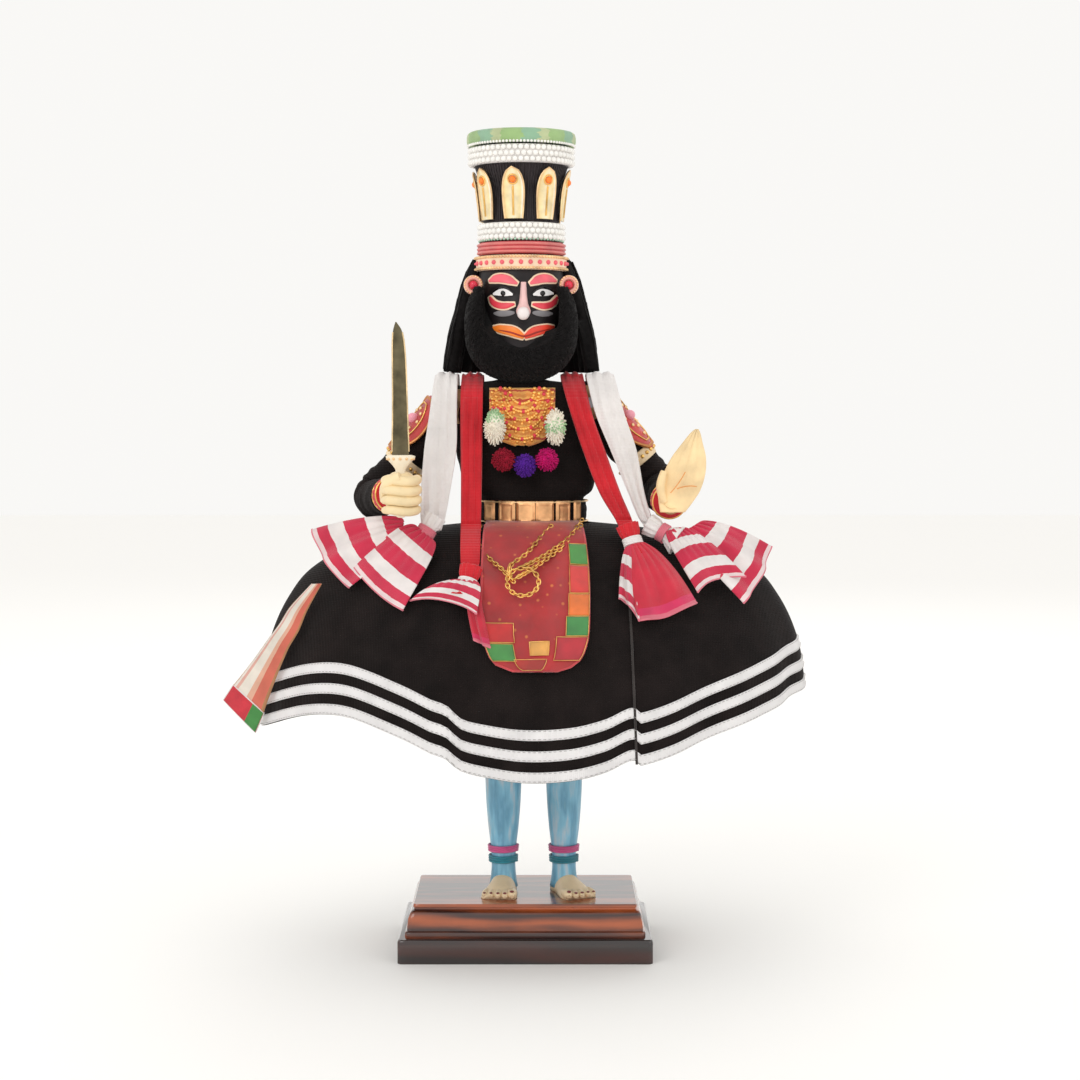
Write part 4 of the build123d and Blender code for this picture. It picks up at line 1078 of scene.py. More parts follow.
def turnedPiece(name, rows, around=96):  # rows of (radius, z) spun about the crown's middle line
    def place(u, v):
        spot = v * (len(rows) - 1)
        i = min(int(spot + 1e-6), len(rows) - 2)
        f = spot - i
        wide = rows[i][0] * (1 - f) + rows[i + 1][0] * f
        z = rows[i][1] * (1 - f) + rows[i + 1][1] * f
        turn = u * fullTurn
        return crownLook["x"] + wide * cos(turn), crownLook["y"] + wide * sin(turn), z

    return shapedRing(name, around, len(rows) - 1, place, holes=False)


def crownCircle(radius, z, count, shift=0.0):
    spots = []
    for k in range(count):
        turn = (k + shift) / count * fullTurn
        spots.append((crownLook["x"] + radius * cos(turn), crownLook["y"] + radius * sin(turn), z))
    return spots


def crownBeads(name, radius, z, bead, count, shift=0.0):
    return beads(name, crownCircle(radius, z, count, shift), bead)


crownBlack = clothFinish("crownBlack", (0.020, 0.012, 0.014), 0.4, 0.6, 0.5, 0.6, 0.1, 0.5)
core = turnedPiece("crownBody", [(0.01, 352.8), (18.6, 352.8), (18.45, 362), (18.1, 368), (18.15, 374),
    (18.8, 379), (20.0, 383), (21.6, 387), (22.6, 390), (22.6, 401.8), (0.01, 401.8)])
roundEdges(core, 0.3)
finishPiece(core, "head", crownBlack, ["crown_core"], soft=40)
threadsUp = []
for k in range(90):  # fine cord wrapped upright round the body
    turn = k / 90 * fullTurn
    threadsUp.append([(crownLook["x"] + r * cos(turn), crownLook["y"] + r * sin(turn), z) for r,
        z in ((18.5, 363), (18.25, 368), (18.3, 374), (18.95, 379), (20.1, 383), (21.7, 387), (22.6, 389.8))])
cords = threads("crownCords", threadsUp, 0.42, 1)
finishPiece(cords, "head", crownBlack)

bandRows = [(20.6, 338.7), (22.6, 338.7), (23.0, 339.3), (22.7, 340.2), (22.5, 342.2), (22.7, 344.3),
    (23.0, 345.2), (22.6, 345.8), (20.6, 345.8), (20.6, 338.7)]
band = turnedPiece("foreheadBand", bandRows)
finishPiece(band, "head", ivory, ["forehead_band"], soft=40)
finishPiece(crownBeads("foreheadBeadsLow", 22.9, 339.5, 0.75, 88), "head", giltPale)
finishPiece(crownBeads("foreheadBeadsHigh", 22.9, 345.0, 0.75, 88), "head", giltPale)
finishPiece(crownBeads("foreheadStuds", 22.6, 342.3, 1.15, 30, 0.5), "head", coral)

redBand = turnedPiece("crownRedBand", [(19.6, 346.5), (20.8, 346.5), (21.4, 347.4), (21.6, 349.5),
    (21.4, 351.6), (20.8, 352.5), (19.6, 352.6), (19.6, 346.5)])
finishPiece(redBand, "head", crownCrimson, ["crown_red_band"], soft=45)
rows = [crownCircle(21.55, z, 60) for z in (347.6, 349.5, 351.4)]
finishPiece(threads("crownRedCords", rows, 0.62, 2, closed=True), "head",
    clothFinish("rosePiping", (0.80, 0.22, 0.20), 0.2, 0.4, 0.5, 0.5, 0.3))

pearlFinish, tree, shader = startFinish("pearlGloss", 0.22)
patchyColour(tree, shader, (0.90, 0.88, 0.84), 0.07, 260)
setShader(shader, Coat_Weight=0.5)
for name, radius, low, step, count, slot in (("Low", 20.4, 354.9, 2.75, 46, "pearl_band_low"),
        ("Top", 25.0, 391.7, 2.9, 56, "pearl_band_top")):
    sleeve = turnedPiece("pearlBacking" + name, [(radius - 2.0, low - 1.6), (radius, low - 1.4),
        (radius + 0.2, low + step), (radius, low + 2 * step + 1.4), (radius - 2.0, low + 2 * step + 1.6),
        (radius - 2.0, low - 1.6)])
    finishPiece(sleeve, "head", whiteCotton)
    for row in range(3):
        string = crownBeads("pearls%s%d" % (name, row), radius + 0.25, low + row * step, 1.42, count,
            0.5 * (row % 2))
        finishPiece(string, "head", pearlFinish, [slot] if row == 0 else ())
tints = crownBeads("mintBeads", 20.75, 353.5, 0.6, 70)
finishPiece(tints, "head", paintFinish("mintPaint", (0.42, 0.66, 0.50), 0.15, 0.3))

petalPaint, tree, shader = startFinish("petalPaint", 0.35, 0.15)
place = addNode(tree, "ShaderNodeTexCoord")
halves = addNode(tree, "ShaderNodeSeparateXYZ")
wire(tree, place, "UV", halves, "Vector")
ramp = addNode(tree, "ShaderNodeValToRGB")
for where, colour in ((0.0, (0.80, 0.50, 0.20)), (0.16, (0.88, 0.70, 0.36)), (0.5, (0.90, 0.80, 0.55)),
        (0.84, (0.88, 0.70, 0.36)), (1.0, (0.80, 0.50, 0.20))):
    ramp.color_ramp.elements.new(where).color = shaded(colour)
wire(tree, halves, "X", ramp, "Fac")
patchyColour(tree, shader, None, 0.15, 200, source=ramp)
petals, rims, stones, stoneRims, leaves = [], [], [], [], []
for number in range(crownLook["petals"]):
    turn = radians(-90 + crownLook["petalTurn"] + 360 / crownLook["petals"] * number)

    def petalSpot(across, up, lift=0.0, turn=turn):  # across and up in mm on the petal
        out = 20.4 + up * 0.105 + 0.0045 * max(0, up - 8) ** 2 * 0.9 + lift - 0.030 * across * across
        wayX, wayY = cos(turn), sin(turn)
        return (crownLook["x"] + out * wayX - across * wayY, crownLook["y"] + out * wayY + across * wayX,
            363.4 + up)

    def petalHalf(up):
        return between([(0, 4.3), (6, 4.9), (13, 5.3), (18, 4.9), (21.5, 3.7), (23.8, 1.9), (24.5, 0.35)],
            up)[0]

    petal = shapedSheet("petal%d" % number, 12, 30, lambda u,
        v: petalSpot((2 * u - 1) * petalHalf(24.5 * v), 24.5 * v))
    thicken(petal, 1.0, 0.0)
    petals.append(petal)
    edge = ([petalSpot(-petalHalf(24.5 * k / 14), 24.5 * k / 14, 0.3) for k in range(15)]
        + [petalSpot(petalHalf(24.5 * k / 14), 24.5 * k / 14, 0.3) for k in range(13, -1, -1)])
    rims.append(threads("petalRim%d" % number, [edge], 0.5, 2))
    stones.append(beads("petalStone%d" % number, [petalSpot(0, 18.6, 0.5)], 1.7, 1.0))
    leaves.append(threads("petalVein%d" % number, [[petalSpot(0, 1.5, 0.65), petalSpot(0, 8, 0.65),
        petalSpot(0, 15.5, 0.6)]], 0.5, 1))
    circle = [petalSpot(2.3 * cos(k / 12 * fullTurn), 18.6 + 2.3 * sin(k / 12 * fullTurn), 0.65)
        for k in range(12)]
    stoneRims.append(threads("stoneRim%d" % number, [circle], 0.42, 1, closed=True))
finishPiece(joinUp("crownPetals", petals), "head", petalPaint, ["crown_petals"])
finishPiece(joinUp("petalRims", rims), "head", giltPale)
finishPiece(joinUp("petalVeins", leaves), "head", gilt)
finishPiece(joinUp("petalStones", stones), "head", orange)
finishPiece(joinUp("petalStoneRims", stoneRims), "head", gilt)

greenRows = [(22.9, 399.8), (25.6, 399.8), (26.5, 400.4), (26.95, 402.0), (26.95, 404.2), (26.5, 405.8),
    (25.6, 406.5), (22.9, 406.5), (22.9, 399.8)]
greenFinish = bandedFinish("crownGreen", [(0.0, (0.36, 0.55, 0.22)), (0.45, (0.30, 0.52, 0.34)),
    (0.8, (0.55, 0.62, 0.34))], 0.15, axis="X", repeat=7, counts=(700, 40), rough=0.55, wobble=0.05)
ring = turnedPiece("crownGreenRing", greenRows)
finishPiece(ring, "head", greenFinish, ["crown_green_ring"], soft=45)
paleRow = crownBeads("crownRimBeads", 26.3, 400.1, 0.7, 96)
finishPiece(paleRow, "head", pearlFinish)
cap = turnedPiece("crownCap", [(0.01, 406.9), (4, 406.9), (10, 406.7), (16, 406.0), (21, 404.9),
    (22.8, 404.2), (22.8, 402.2), (0.01, 402.2)])
finishPiece(cap, "head", clothFinish("capCloth", (0.62, 0.42, 0.20), 0.25, 0.6, 0.5, 0.6, 0.3),
    ["crown_cap"], soft=40)
rings = [crownCircle(r, z, 48) for r, z in ((6, 406.85), (12, 406.5), (18, 405.6), (21.8, 404.8))]
finishPiece(threads("crownCapCords", rings, 0.4, 1, closed=True), "head", gilt)
print("crown built")

# the belt
beltLook = {"x": 3.6, "wide": 27.2, "deep": 24.0, "low": 214.8, "high": 225.6}


def beltPoint(turn, z, out=0.0):
    return beltLook["x"] + (beltLook["wide"] + out) * cos(turn), (beltLook["deep"] + out) * sin(turn), z


def rollPlace(u, v):
    turn = u * fullTurn
    return beltPoint(turn, 215.0 + 10.4 * v, -1.0 + 0.7 * sin(pi * v) + 0.25 * abs(sin(2.5 * pi * v)))


roll = shapedRing("waistRoll", 90, 14, rollPlace, holes=False)
finishPiece(roll, "stand", blackCotton, ["waist_band"])
plates = []
for x, half in ((-17.6, 3.9), (-9.0, 4.5), (0.3, 4.6), (9.6, 4.5), (18.6, 4.1), (25.4, 2.6)):
    turn = -acos(max(-1, min(1, (x - beltLook["x"]) / beltLook["wide"])))
    spread = half / hypot(beltLook["wide"] * sin(turn), beltLook["deep"] * cos(turn))

    def platePlace(u, v, turn=turn, spread=spread):
        near = min(u, 1 - u, v, 1 - v)
        return beltPoint(turn + (2 * u - 1) * spread, 214.6 + 11.2 * v,
            0.35 + 0.75 * min(1, near / 0.14) - 0.25 * (near > 0.2))

    plate = shapedSheet("beltPlate", 14, 14, platePlace)
    thicken(plate, 0.7, -1.0)
    plates.append(plate)
copperGilt = giltFinish("copperGilt", (0.78, 0.42, 0.20), 0.36, 300)
finishPiece(joinUp("beltPlates", plates), "stand", copperGilt, ["belt_plates"], soft=35)
loops = [[beltPoint(s / 60 * fullTurn, z, 0.3) for s in range(60)] for z in (215.2, 225.2)]
finishPiece(threads("beltCords", loops, 0.45, 1, closed=True), "stand", giltPale)
print("belt closed")

# the apron
apronLeft = [(149, -4), (150, -9), (153, -14), (158, -17), (166, -19.5), (190, -20), (206, -19.6),
    (214, -19.0)]
apronRight = [(149, 14), (150, 19), (153, 24.5), (158, 27.6), (166, 29.5), (190, 30), (206, 28.6), (214, 27)]
satin, tree, shader = startFinish("brocadeSatin", 0.34)
place = addNode(tree, "ShaderNodeTexCoord")
cells = addNode(tree, "ShaderNodeTexVoronoi", Scale=190.0)
wire(tree, place, "Object", cells, "Vector")
ramp = addNode(tree, "ShaderNodeValToRGB")
ramp.color_ramp.interpolation = "EASE"
for element, (where, colour) in zip(ramp.color_ramp.elements,
        ((0.07, (0.62, 0.15, 0.03)), (0.20, (0.40, 0.006, 0.008)))):
    element.position = where
    element.color = shaded(colour)
wire(tree, cells, "Distance", ramp, "Fac")
patchyColour(tree, shader, None, 0.28, 60, source=ramp)
weaveBump(tree, shader, 0.5, 0.4)
setShader(shader, Sheen_Weight=0.3, Specular_IOR_Level=0.6)


def apronPoint(u, z, lift=0.0):
    left, right = between(apronLeft, z)[0], between(apronRight, z)[0]
    x = left + (right - left) * u
    down = (214 - z) / 65
    fold = (0.9 * sin(u * 9.2 + 0.5 + 2.0 * down) + 0.5 * sin(u * 17 + 5 * down)) * min(1,
        2.5 * down) + 0.4 * sin(z * 0.33 + 4 * u) * down
    x, y, z = skirtFront(x, z, 0)
    normal = apronNormal(x, z)
    rise = 2.0 + 0.7 * fold + lift
    return x + normal[0] * rise, y + normal[1] * rise, z + normal[2] * rise


def apronNormal(x, z):
    a = Vector(skirtFront(x, z, 0))
    b = Vector(skirtFront(x + 0.5, z, 0))
    c = Vector(skirtFront(x, z + 0.5, 0))
    n = (b - a).cross(c - a).normalized()
    return n if n.y < 0 else -n


apronLook = {"top": 213.6, "bottom": 149.0}
apronTall = apronLook["top"] - apronLook["bottom"]
apron = shapedSheet("frontApron", 44, 80, lambda u, v: apronPoint(u, apronLook["top"] - v * apronTall))
thicken(apron, 0.9, 1.0)
finishPiece(apron, "stand", satin, ["apron"])
patchLook = [
    ("greenPatchHigh", 0.83, 1.0, 204, 195.5, (0.05, 0.27, 0.04)),
    ("scarletPatch", 0.82, 1.0, 195.0, 183.2, (0.66, 0.03, 0.025)),
    # this orange patch is painted highlight: the bright sheen of the red satin on the middle right, laid on as
    # cloth
    ("orangeSheenPatch", 0.81, 1.0, 182.8, 173.4, (0.80, 0.17, 0.02)),
    ("greenPatchLow", 0.79, 1.0, 173.0, 164.5, (0.04, 0.24, 0.05)),
    ("crimsonPatch", 0.70, 1.0, 164.0, 153.8, (0.44, 0.010, 0.022)),
    # this gold patch is painted highlight: a yellow glint on the satin low in the middle, laid on as cloth
    ("goldGlintPatch", 0.44, 0.63, 162.0, 156.0, (0.84, 0.40, 0.08)),
    ("orangeSheenPatchLow", 0.26, 0.62, 154.2, 149.4, (0.50, 0.022, 0.012)),
    ("scarletPatchLow", 0.0, 0.30, 170.0, 161.6, (0.50, 0.012, 0.012)),
    ("greenPatchLeft", 0.0, 0.28, 161.0, 153.4, (0.05, 0.26, 0.05)),
]
hems = []
for number, (name, first, last, top, low, colour) in enumerate(patchLook):
    patch = shapedSheet(name, 12, 12, lambda u, v: apronPoint(first + (last - first) * u,
        top + (low - top) * v, 1.35 + 0.25 * (1 - abs(2 * u - 1) ** 6) * (1 - abs(2 * v - 1) ** 6)))
    thicken(patch, 0.5, -1.0)
    shine = 0.3 if "gold" in name else 0.45
    finishPiece(patch, "stand", clothFinish(name + "Cloth", colour, 0.3, 0.5, 0.45, shine, 0.4,
        0.6), ["apron_borders"] if number == 0 else ())
    around = [(first, top), (last, top), (last, low), (first, low)]
    loop = []
    for k in range(4):
        a, b = around[k], around[(k + 1) % 4]
        loop += [apronPoint(a[0] + (b[0] - a[0]) * s / 6, a[1] + (b[1] - a[1]) * s / 6, 1.45)
            for s in range(6)]
    hems.append(threads(name + "Cord", [loop], 0.16, 1, closed=True))
finishPiece(joinUp("apronPatchCords", hems), "stand", gilt)
sides = [apronPoint(0.0, z, 0.5) for z in range(212, 149, -3)]
sides += [apronPoint(s / 12, 149.2, 0.5) for s in range(13)]
sides += [apronPoint(1.0, z, 0.5) for z in range(151, 213, 3)]
finishPiece(threads("apronPiping", [sides], 0.65, 2), "stand", crownCrimson)

# gilt chain of small links, sewn on where it crosses the apron
chainLook = {"step": 2.1, "link": 1.3, "wire": 0.40}
chainRuns = [
    [(-22.0, -30.5, 214.0), (-22.5, -40.0, 208.5), (-17.5, -55, 201.0), (-10.5, -63.0, 195.5),
        (-5.5, -67.5, 190.5)],
    [(27.5, -31.5, 217.0), (21.0, -45.0, 209.5), (13.0, -54.5, 204.0), (5.0, -61.5, 199.6),
        (-1.5, -65.0, 196.5)],
    [(27.0, -33.5, 214.5), (20.0, -48.5, 206.6), (11.0, -58.5, 200.6), (3.0, -64.8, 195.6),
        (-3.5, -67.5, 192.0)],
    [(12.5, -36.0, 214.4), (6.5, -47.5, 208.4), (0.5, -58.0, 202.4), (-6.5, -64.0, 197.5),
        (-6.8, -67.0, 192.5)],
]


def linkAt(spot, ahead, upright):
    wide = ahead.cross(Vector((0, -1, 0.5))).normalized()
    if not upright:
        wide = ahead.cross(wide).normalized()
    size = chainLook["link"]
    turns = [k / 8 * fullTurn for k in range(8)]
    return [tuple(spot + ahead * (size * 1.25 * cos(t)) + wide * (size * 0.72 * sin(t))) for t in turns]


links = []
for run in chainRuns:
    total = sum((Vector(run[k + 1]) - Vector(run[k])).length for k in range(len(run) - 1))
    count = int(total / chainLook["step"])
    for k in range(count):
        t = k / (count - 1)
        ahead = Vector(alongPath(run, min(1, t + 0.01))) - Vector(alongPath(run, max(0, t - 0.01)))
        links.append(linkAt(Vector(alongPath(run, t)), ahead.normalized(), k % 2 == 0))
chain = threads("waistChainLinks", links, chainLook["wire"], 0, closed=True)
finishPiece(chain, "stand", gilt, ["waist_chain"])
ringLinks = []
for k in range(22):
    turn = k / 22 * fullTurn
    spot = Vector((-0.8 + 7.4 * cos(turn), -69.2 + 3.2 * sin(turn), 190.2 + 6.2 * sin(turn)))
    ahead = Vector((-7.4 * sin(turn), 3.2 * cos(turn), 6.2 * cos(turn))).normalized()
    ringLinks.append(linkAt(spot, ahead, k % 2 == 0))
ringChain = threads("chainRingLinks", ringLinks, chainLook["wire"], 0, closed=True)
finishPiece(ringChain, "stand", gilt, ["chain_ring"])
print("apron and chain laid")

# bib and tufts
bibBrocade = bandedFinish("bibBrocade", [(0.0, (0.72, 0.26, 0.05)), (0.3, (0.86, 0.44, 0.10)),
    (0.55, (0.55, 0.06, 0.03)), (0.75, (0.80, 0.36, 0.08))], 0.35, repeat=6, counts=(90, 90), rough=0.45,
    wobble=0.12)


def bibPoint(x, z, lift=0.0):
    return torsoFront(x, z, 2.2 + lift)


def bibPlace(u, v):
    z = 281.0 - v * 28.0
    half = between([(252.8, 3.0), (254.5, 8.5), (257, 12), (262, 14.3), (268, 15.2), (281.2, 15.2)], z)[0]
    return bibPoint(-1.5 + (2 * u - 1) * half, z, 0.3 * sin(3 * pi * u) ** 2)


bib = shapedSheet("necklaceBib", 30, 36, bibPlace)
thicken(bib, 0.8, 1.0)
finishPiece(bib, "stand", bibBrocade, ["necklace_bib"])
garlandGold, garlandRed = [], []
for number, (half, top, low) in enumerate(((6.0, 281, 273.5), (8.2, 281, 269.5), (10.4, 281, 265.3),
        (12.4, 280, 261.0), (14.2, 279, 256.2))):
    count = 17 + number * 5
    for k in range(count):
        a = pi * k / (count - 1)
        x = -1.5 - half * cos(a)
        z = top - (top - low) * max(0.0, sin(a)) ** 0.8
        (garlandRed if (k + number) % 5 == 2 else garlandGold).append(bibPoint(x, z, 0.9))
        if k % 3 == 1 and number > 0:
            garlandGold.append(bibPoint(x + 0.3 * cos(a), z - 1.7, 0.6))
finishPiece(beads("garlandGold", garlandGold, 0.95), "stand",
    giltFinish("garlandGilt", (0.88, 0.48, 0.14), 0.34))
finishPiece(beads("garlandRed", garlandRed, 1.0), "stand", crimson)


def woolTuft(name, spot, radius, tall, finishes, count=220):
    clearSelection()
    bpy.ops.mesh.primitive_ico_sphere_add(subdivisions=3, radius=1)
    core = bpy.context.object
    for vert in core.data.vertices:
        bump = 0.86 + 0.06 * noise.noise(vert.co * 3 + Vector(spot))
        vert.co = Vector((spot[0] + vert.co.x * radius * bump, spot[1] + vert.co.y * radius * bump,
            spot[2] + vert.co.z * tall * bump)) * mm
    parts = []
    groups = [[] for finish in finishes]
    for k in range(count):
        up = 1 - 2 * (k + 0.5) / count
        turn = k * 2.399963
        flat = (1 - up * up) ** 0.5
        way = Vector((flat * cos(turn), flat * sin(turn), up))
        lean = Vector((dice.uniform(-1, 1), dice.uniform(-1, 1), dice.uniform(-1, 0.4))) * 0.25
        path = []
        for s, r in ((0.7, 1.0), (0.88, 1.0), (1.04, 0.7)):
            mid = way * s if s < 0.8 else way * s + lean * (s - 0.7) * 1.6
            path.append((spot[0] + mid.x * radius, spot[1] + mid.y * radius, spot[2] + mid.z * tall, r))
        choice = min(len(finishes) - 1, max(0, int((0.5 - up * 0.5) * len(finishes)
            + dice.uniform(-0.25, 0.25)))) if len(finishes) > 1 else 0
        groups[choice].append(path)
    for k, group in enumerate(groups):
        tuft = threads(name + "Wool%d" % k, group, radius * 0.085, 0)
        tuft.data.materials.append(finishes[k])
        parts.append(tuft)
    core.data.materials.append(finishes[-1])
    parts.append(core)
    tuft = joinUp(name, parts)
    smoothShade(tuft)
    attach(tuft, "stand")
    return tuft


paleGreen = woolFinish("paleGreenWool", (0.42, 0.62, 0.36), 0.25)
creamWool = woolFinish("creamWool", (0.86, 0.80, 0.68), 0.12)
for side, x, order in (("left", 14.8, (creamWool, paleGreen, creamWool)),
        ("right", -14.8, (paleGreen, creamWool, creamWool))):
    tuft = woolTuft(side + "GreenTuft", (x, -25.4, 262.4), 4.9, 8.6, order, 300)
    if side == "left":
        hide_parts("green_tufts")
for name, spot, colour in (("maroon", (-10.6, -26.4, 246.4), (0.30, 0.012, 0.03)),
        ("violet", (0, -26.4, 243.6), (0.10, 0.02, 0.30)), ("magenta", (10.6, -26.4, 246.4),
        (0.52, 0.01, 0.14))):
    tuft = woolTuft(name + "Tuft", spot, 5.2, 5.4, (woolFinish(name + "Wool", colour, 0.35),), 300)
    if name == "maroon":
        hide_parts("wool_tufts")
print("chest dressed")

# the stoles
fallRed = {
    "right": [(-21, 258), (-24.5, 240), (-28.5, 224), (-32, 214.8), (-41, 210), (-50.5, 203.8), (-61.5, 191.8)],
    "left": [(-21, 258), (-24.5, 242), (-29, 228), (-34, 218), (-39.5, 212.5), (-44, 208.5)]}
fallWhite = [(-21.5, 258), (-25, 242), (-29, 229), (-34, 217.5), (-38, 212.5)]
shoulderTop = {"right": 286.9, "left": 287.1}
# rows are (height, inner edge, outer edge)
stoleEdges = {
    ("red", "right"): [(190, -23.5, -29.2), (198, -21.4, -30.4), (215, -21.4, -31.2), (240, -21.0, -31.4),
        (268, -20.8, -31.8), (292, -20.8, -31.6)],
    ("white", "right"): [(212, -40.5, -49.5), (218, -38.8, -50.6), (228, -37.0, -50.8), (251, -33.6, -49.4),
        (268, -33.4, -47.0), (292, -33.2, -44.0)],
    ("red", "left"): [(208, 48.6, 53.0), (215, 45.2, 52.6), (230, 36.2, 46.6), (251, 28.0, 39.0),
        (268, 22.4, 33.0), (284, 18.0, 29.3), (292, 17.0, 28.0)],
    ("white", "left"): [(211.5, 60.0, 64.4), (218, 55.2, 61.6), (230, 50.2, 58.2), (251, 41.6, 54.4),
        (268, 34.6, 48.8), (284, 30.5, 44.6), (292, 29.4, 43.0)],
}


def stoleLine(colour, side):
    top = shoulderTop[side]
    fall = fallWhite if colour == "white" else fallRed[side]
    over = [(19.4, 262), (19.4, 268), (19.0, 275), (16.4, 282), (11, top), (0, top + 0.3)]
    if colour == "red":  # kept low in front, where the beard passes
        over += [(-6.5, 285.4), (-12.6, 282.4), (-17.4, 278), (-19.4, 272.5), (-20, 266)]
    else:
        over += [(-11, top), (-16.4, 282), (-19.2, 274), (-20, 266)]
    return over + fall


def stolePlace(colour, side, u, v):
    line = stoleLine(colour, side)
    y, z = alongPath(line, v)
    aheadY, aheadZ = alongPath(line, min(1, v + 0.01))
    behindY, behindZ = alongPath(line, max(0, v - 0.01))
    dy, dz = aheadY - behindY, aheadZ - behindZ
    size = hypot(dy, dz)
    ny, nz = dz / size, -dy / size
    if v > 0.45 and ny > 0:
        ny, nz = -ny, -nz
    inner, outer = between(stoleEdges[colour, side], z)
    a = u * fullTurn
    s = (1 - cos(a)) / 2
    shift = {"red": 0.4, "white": 1.9}[colour] + (0.7 if side == "left" else 0)
    fold = 0.5 + 0.5 * cos(fullTurn * (2.5 * s + 0.35 * sin(5 * v + shift)) + shift)
    fine = 0.5 + 0.5 * cos(fullTurn * (6 * s + 0.6 * v) + 2 * shift)
    bulge = abs(sin(a)) ** 0.55
    flatter = 0.55 if colour == "red" and y < -5 and z > 276 else 1.0
    front = (0.55 + 1.35 * fold + 0.3 * fine) * bulge * flatter if sin(a) > 0 else -0.35 * bulge
    return inner + (outer - inner) * s, y + ny * front, z + nz * front


def stoleOutward(colour, side):
    def place(u, v):
        y, z = alongPath(stoleLine(colour, side), v)
        x0, y0, z0 = stolePlace(colour, side, u, v)
        inward = Vector((0, y0 - y, z0 - z)).dot(Vector((0, y, z - 262))) < 0
        good = -1 if inward == (sin(u * fullTurn) > 0) else 1
        return x0, y + (y0 - y) * good, z + (z0 - z) * good

    return place


for colour, finish in (("red", redCotton), ("white", whiteCotton)):
    parts = [shapedRing(colour + side, 44, 130, stoleOutward(colour, side)) for side in ("right", "left")]
    stole = joinUp(colour + "Stole", parts)
    finishPiece(stole, "stand", finish, [colour + "_stole"])
print("stoles draped")

# flared stole ends
stripes = [(0.0, (0.66, 0.02, 0.07)), (0.20, (0.90, 0.84, 0.82)), (0.38, (0.66, 0.02, 0.07)),
    (0.62, (0.90, 0.84, 0.82)), (0.80, (0.66, 0.02, 0.07)), (0.93, (0.90, 0.72, 0.72))]
striped = bandedFinish("stripedCotton", stripes, 0.10, counts=(120, 90), wobble=0.02)
mostlyRed = bandedFinish("bellCotton", [(0.0, (0.66, 0.02, 0.05)), (0.86, (0.72, 0.03, 0.12)),
    (0.95, (0.74, 0.16, 0.22))], 0.14, counts=(120, 90), wobble=0.02)
lobeLook = {  # two corners at the neck, two at the hem, arch of the hem, puff, ruffles, ruffle depth
    "whiteRightLobe": (("white", "right"), (-52, -44, 215), (-43, -46, 207.5), (-83, -40, 195),
        (-57, -66, 175.5), 2.0, 5.0, 1.0, 1.2, striped),
    "whiteRightWing": (("white", "right"), (-58, -40, 217.5), (-58, -42, 210), (-104, -24, 211),
        (-84, -47, 184.5), 3.0, 4.0, 2.0, 2.4, striped),
    "redRightLobe": (("red", "right"), (-31, -64, 190), (-23, -65, 190), (-54, -62, 180), (-22, -76, 175),
        -4.0, 6.0, 1.0, 1.0, striped),
    "redRightTail": (("red", "right"), (-27, -67, 187), (-22, -67, 188), (-23, -74, 163), (-16, -79, 160),
        0.0, 2.0, 1.5, 1.2, mostlyRed),
    "redLeftBell": (("red", "left"), (50, -51, 206), (56, -49, 207), (53, -71.5, 171), (82, -58, 179), 2.0,
        6.0, 1.5, 1.3, mostlyRed),
    "redLeftFrill": (("red", "left"), (49, -52, 205), (51, -52, 206), (45, -64, 181), (54, -73, 171.5), -2.0,
        4.0, 2.0, 1.4, striped),
    "whiteLeftLobe": (("white", "left"), (68, -45, 212.5), (76, -42, 214), (82, -56, 183), (106, -48, 190),
        -4.0, 5.0, 1.0, 1.4, striped),
    "whiteLeftWing": (("white", "left"), (76, -42, 212), (84, -38, 216), (104, -50, 177), (120, -27, 203),
        2.0, 4.5, 2.0, 2.2, striped),
}


def lobePlace(spec, u, v):
    a, b, c, d = [Vector(p) for p in spec[1:5]]
    arch, puff, ruffles, depth = spec[5:9]
    spread = min(1, v) ** 0.62
    near, far = a.lerp(b, u), c.lerp(d, u)
    middleNear, middleFar = a.lerp(b, 0.5), c.lerp(d, 0.5)
    length = middleFar - middleNear
    spot = middleNear + length * v + (near - middleNear) * (1 - v) + (far - middleFar) * spread
    facing = (d - c).cross(length).normalized()
    if facing.y > 0:
        facing = -facing
    spot = spot + length.normalized() * arch * 4 * u * (1 - u) * v
    spot = spot + facing * puff * sin(pi * min(1, v * 0.9 + 0.05)) ** 0.8 * (0.35 + 0.65 * sin(pi * u) ** 0.7)
    spot = spot + facing * depth * v * sin(fullTurn * (ruffles * u + 0.12))
    pleats = sin(2 * pi * 6 * u + 0.7) * 0.55 * (1 - v) ** 1.3
    return tuple(spot + facing * pleats)


for name, spec in lobeLook.items():
    lobe = shapedSheet(name, 40, 40, lambda u, v: lobePlace(spec, u, v))
    thicken(lobe, 0.9, 0.0)
    soften(lobe)
    finishPiece(lobe, "stand", spec[9],
        ["red_flares"] if name == "redRightLobe" else ["white_flares"] if name == "whiteRightLobe" else ())
    hemLine = [tuple(lobePlace(spec, k / 40, 0.985)) for k in range(41)]
    hem = threads(name + "Hem", [hemLine], 0.55, 2)
    finishPiece(hem, "stand", hemPink)

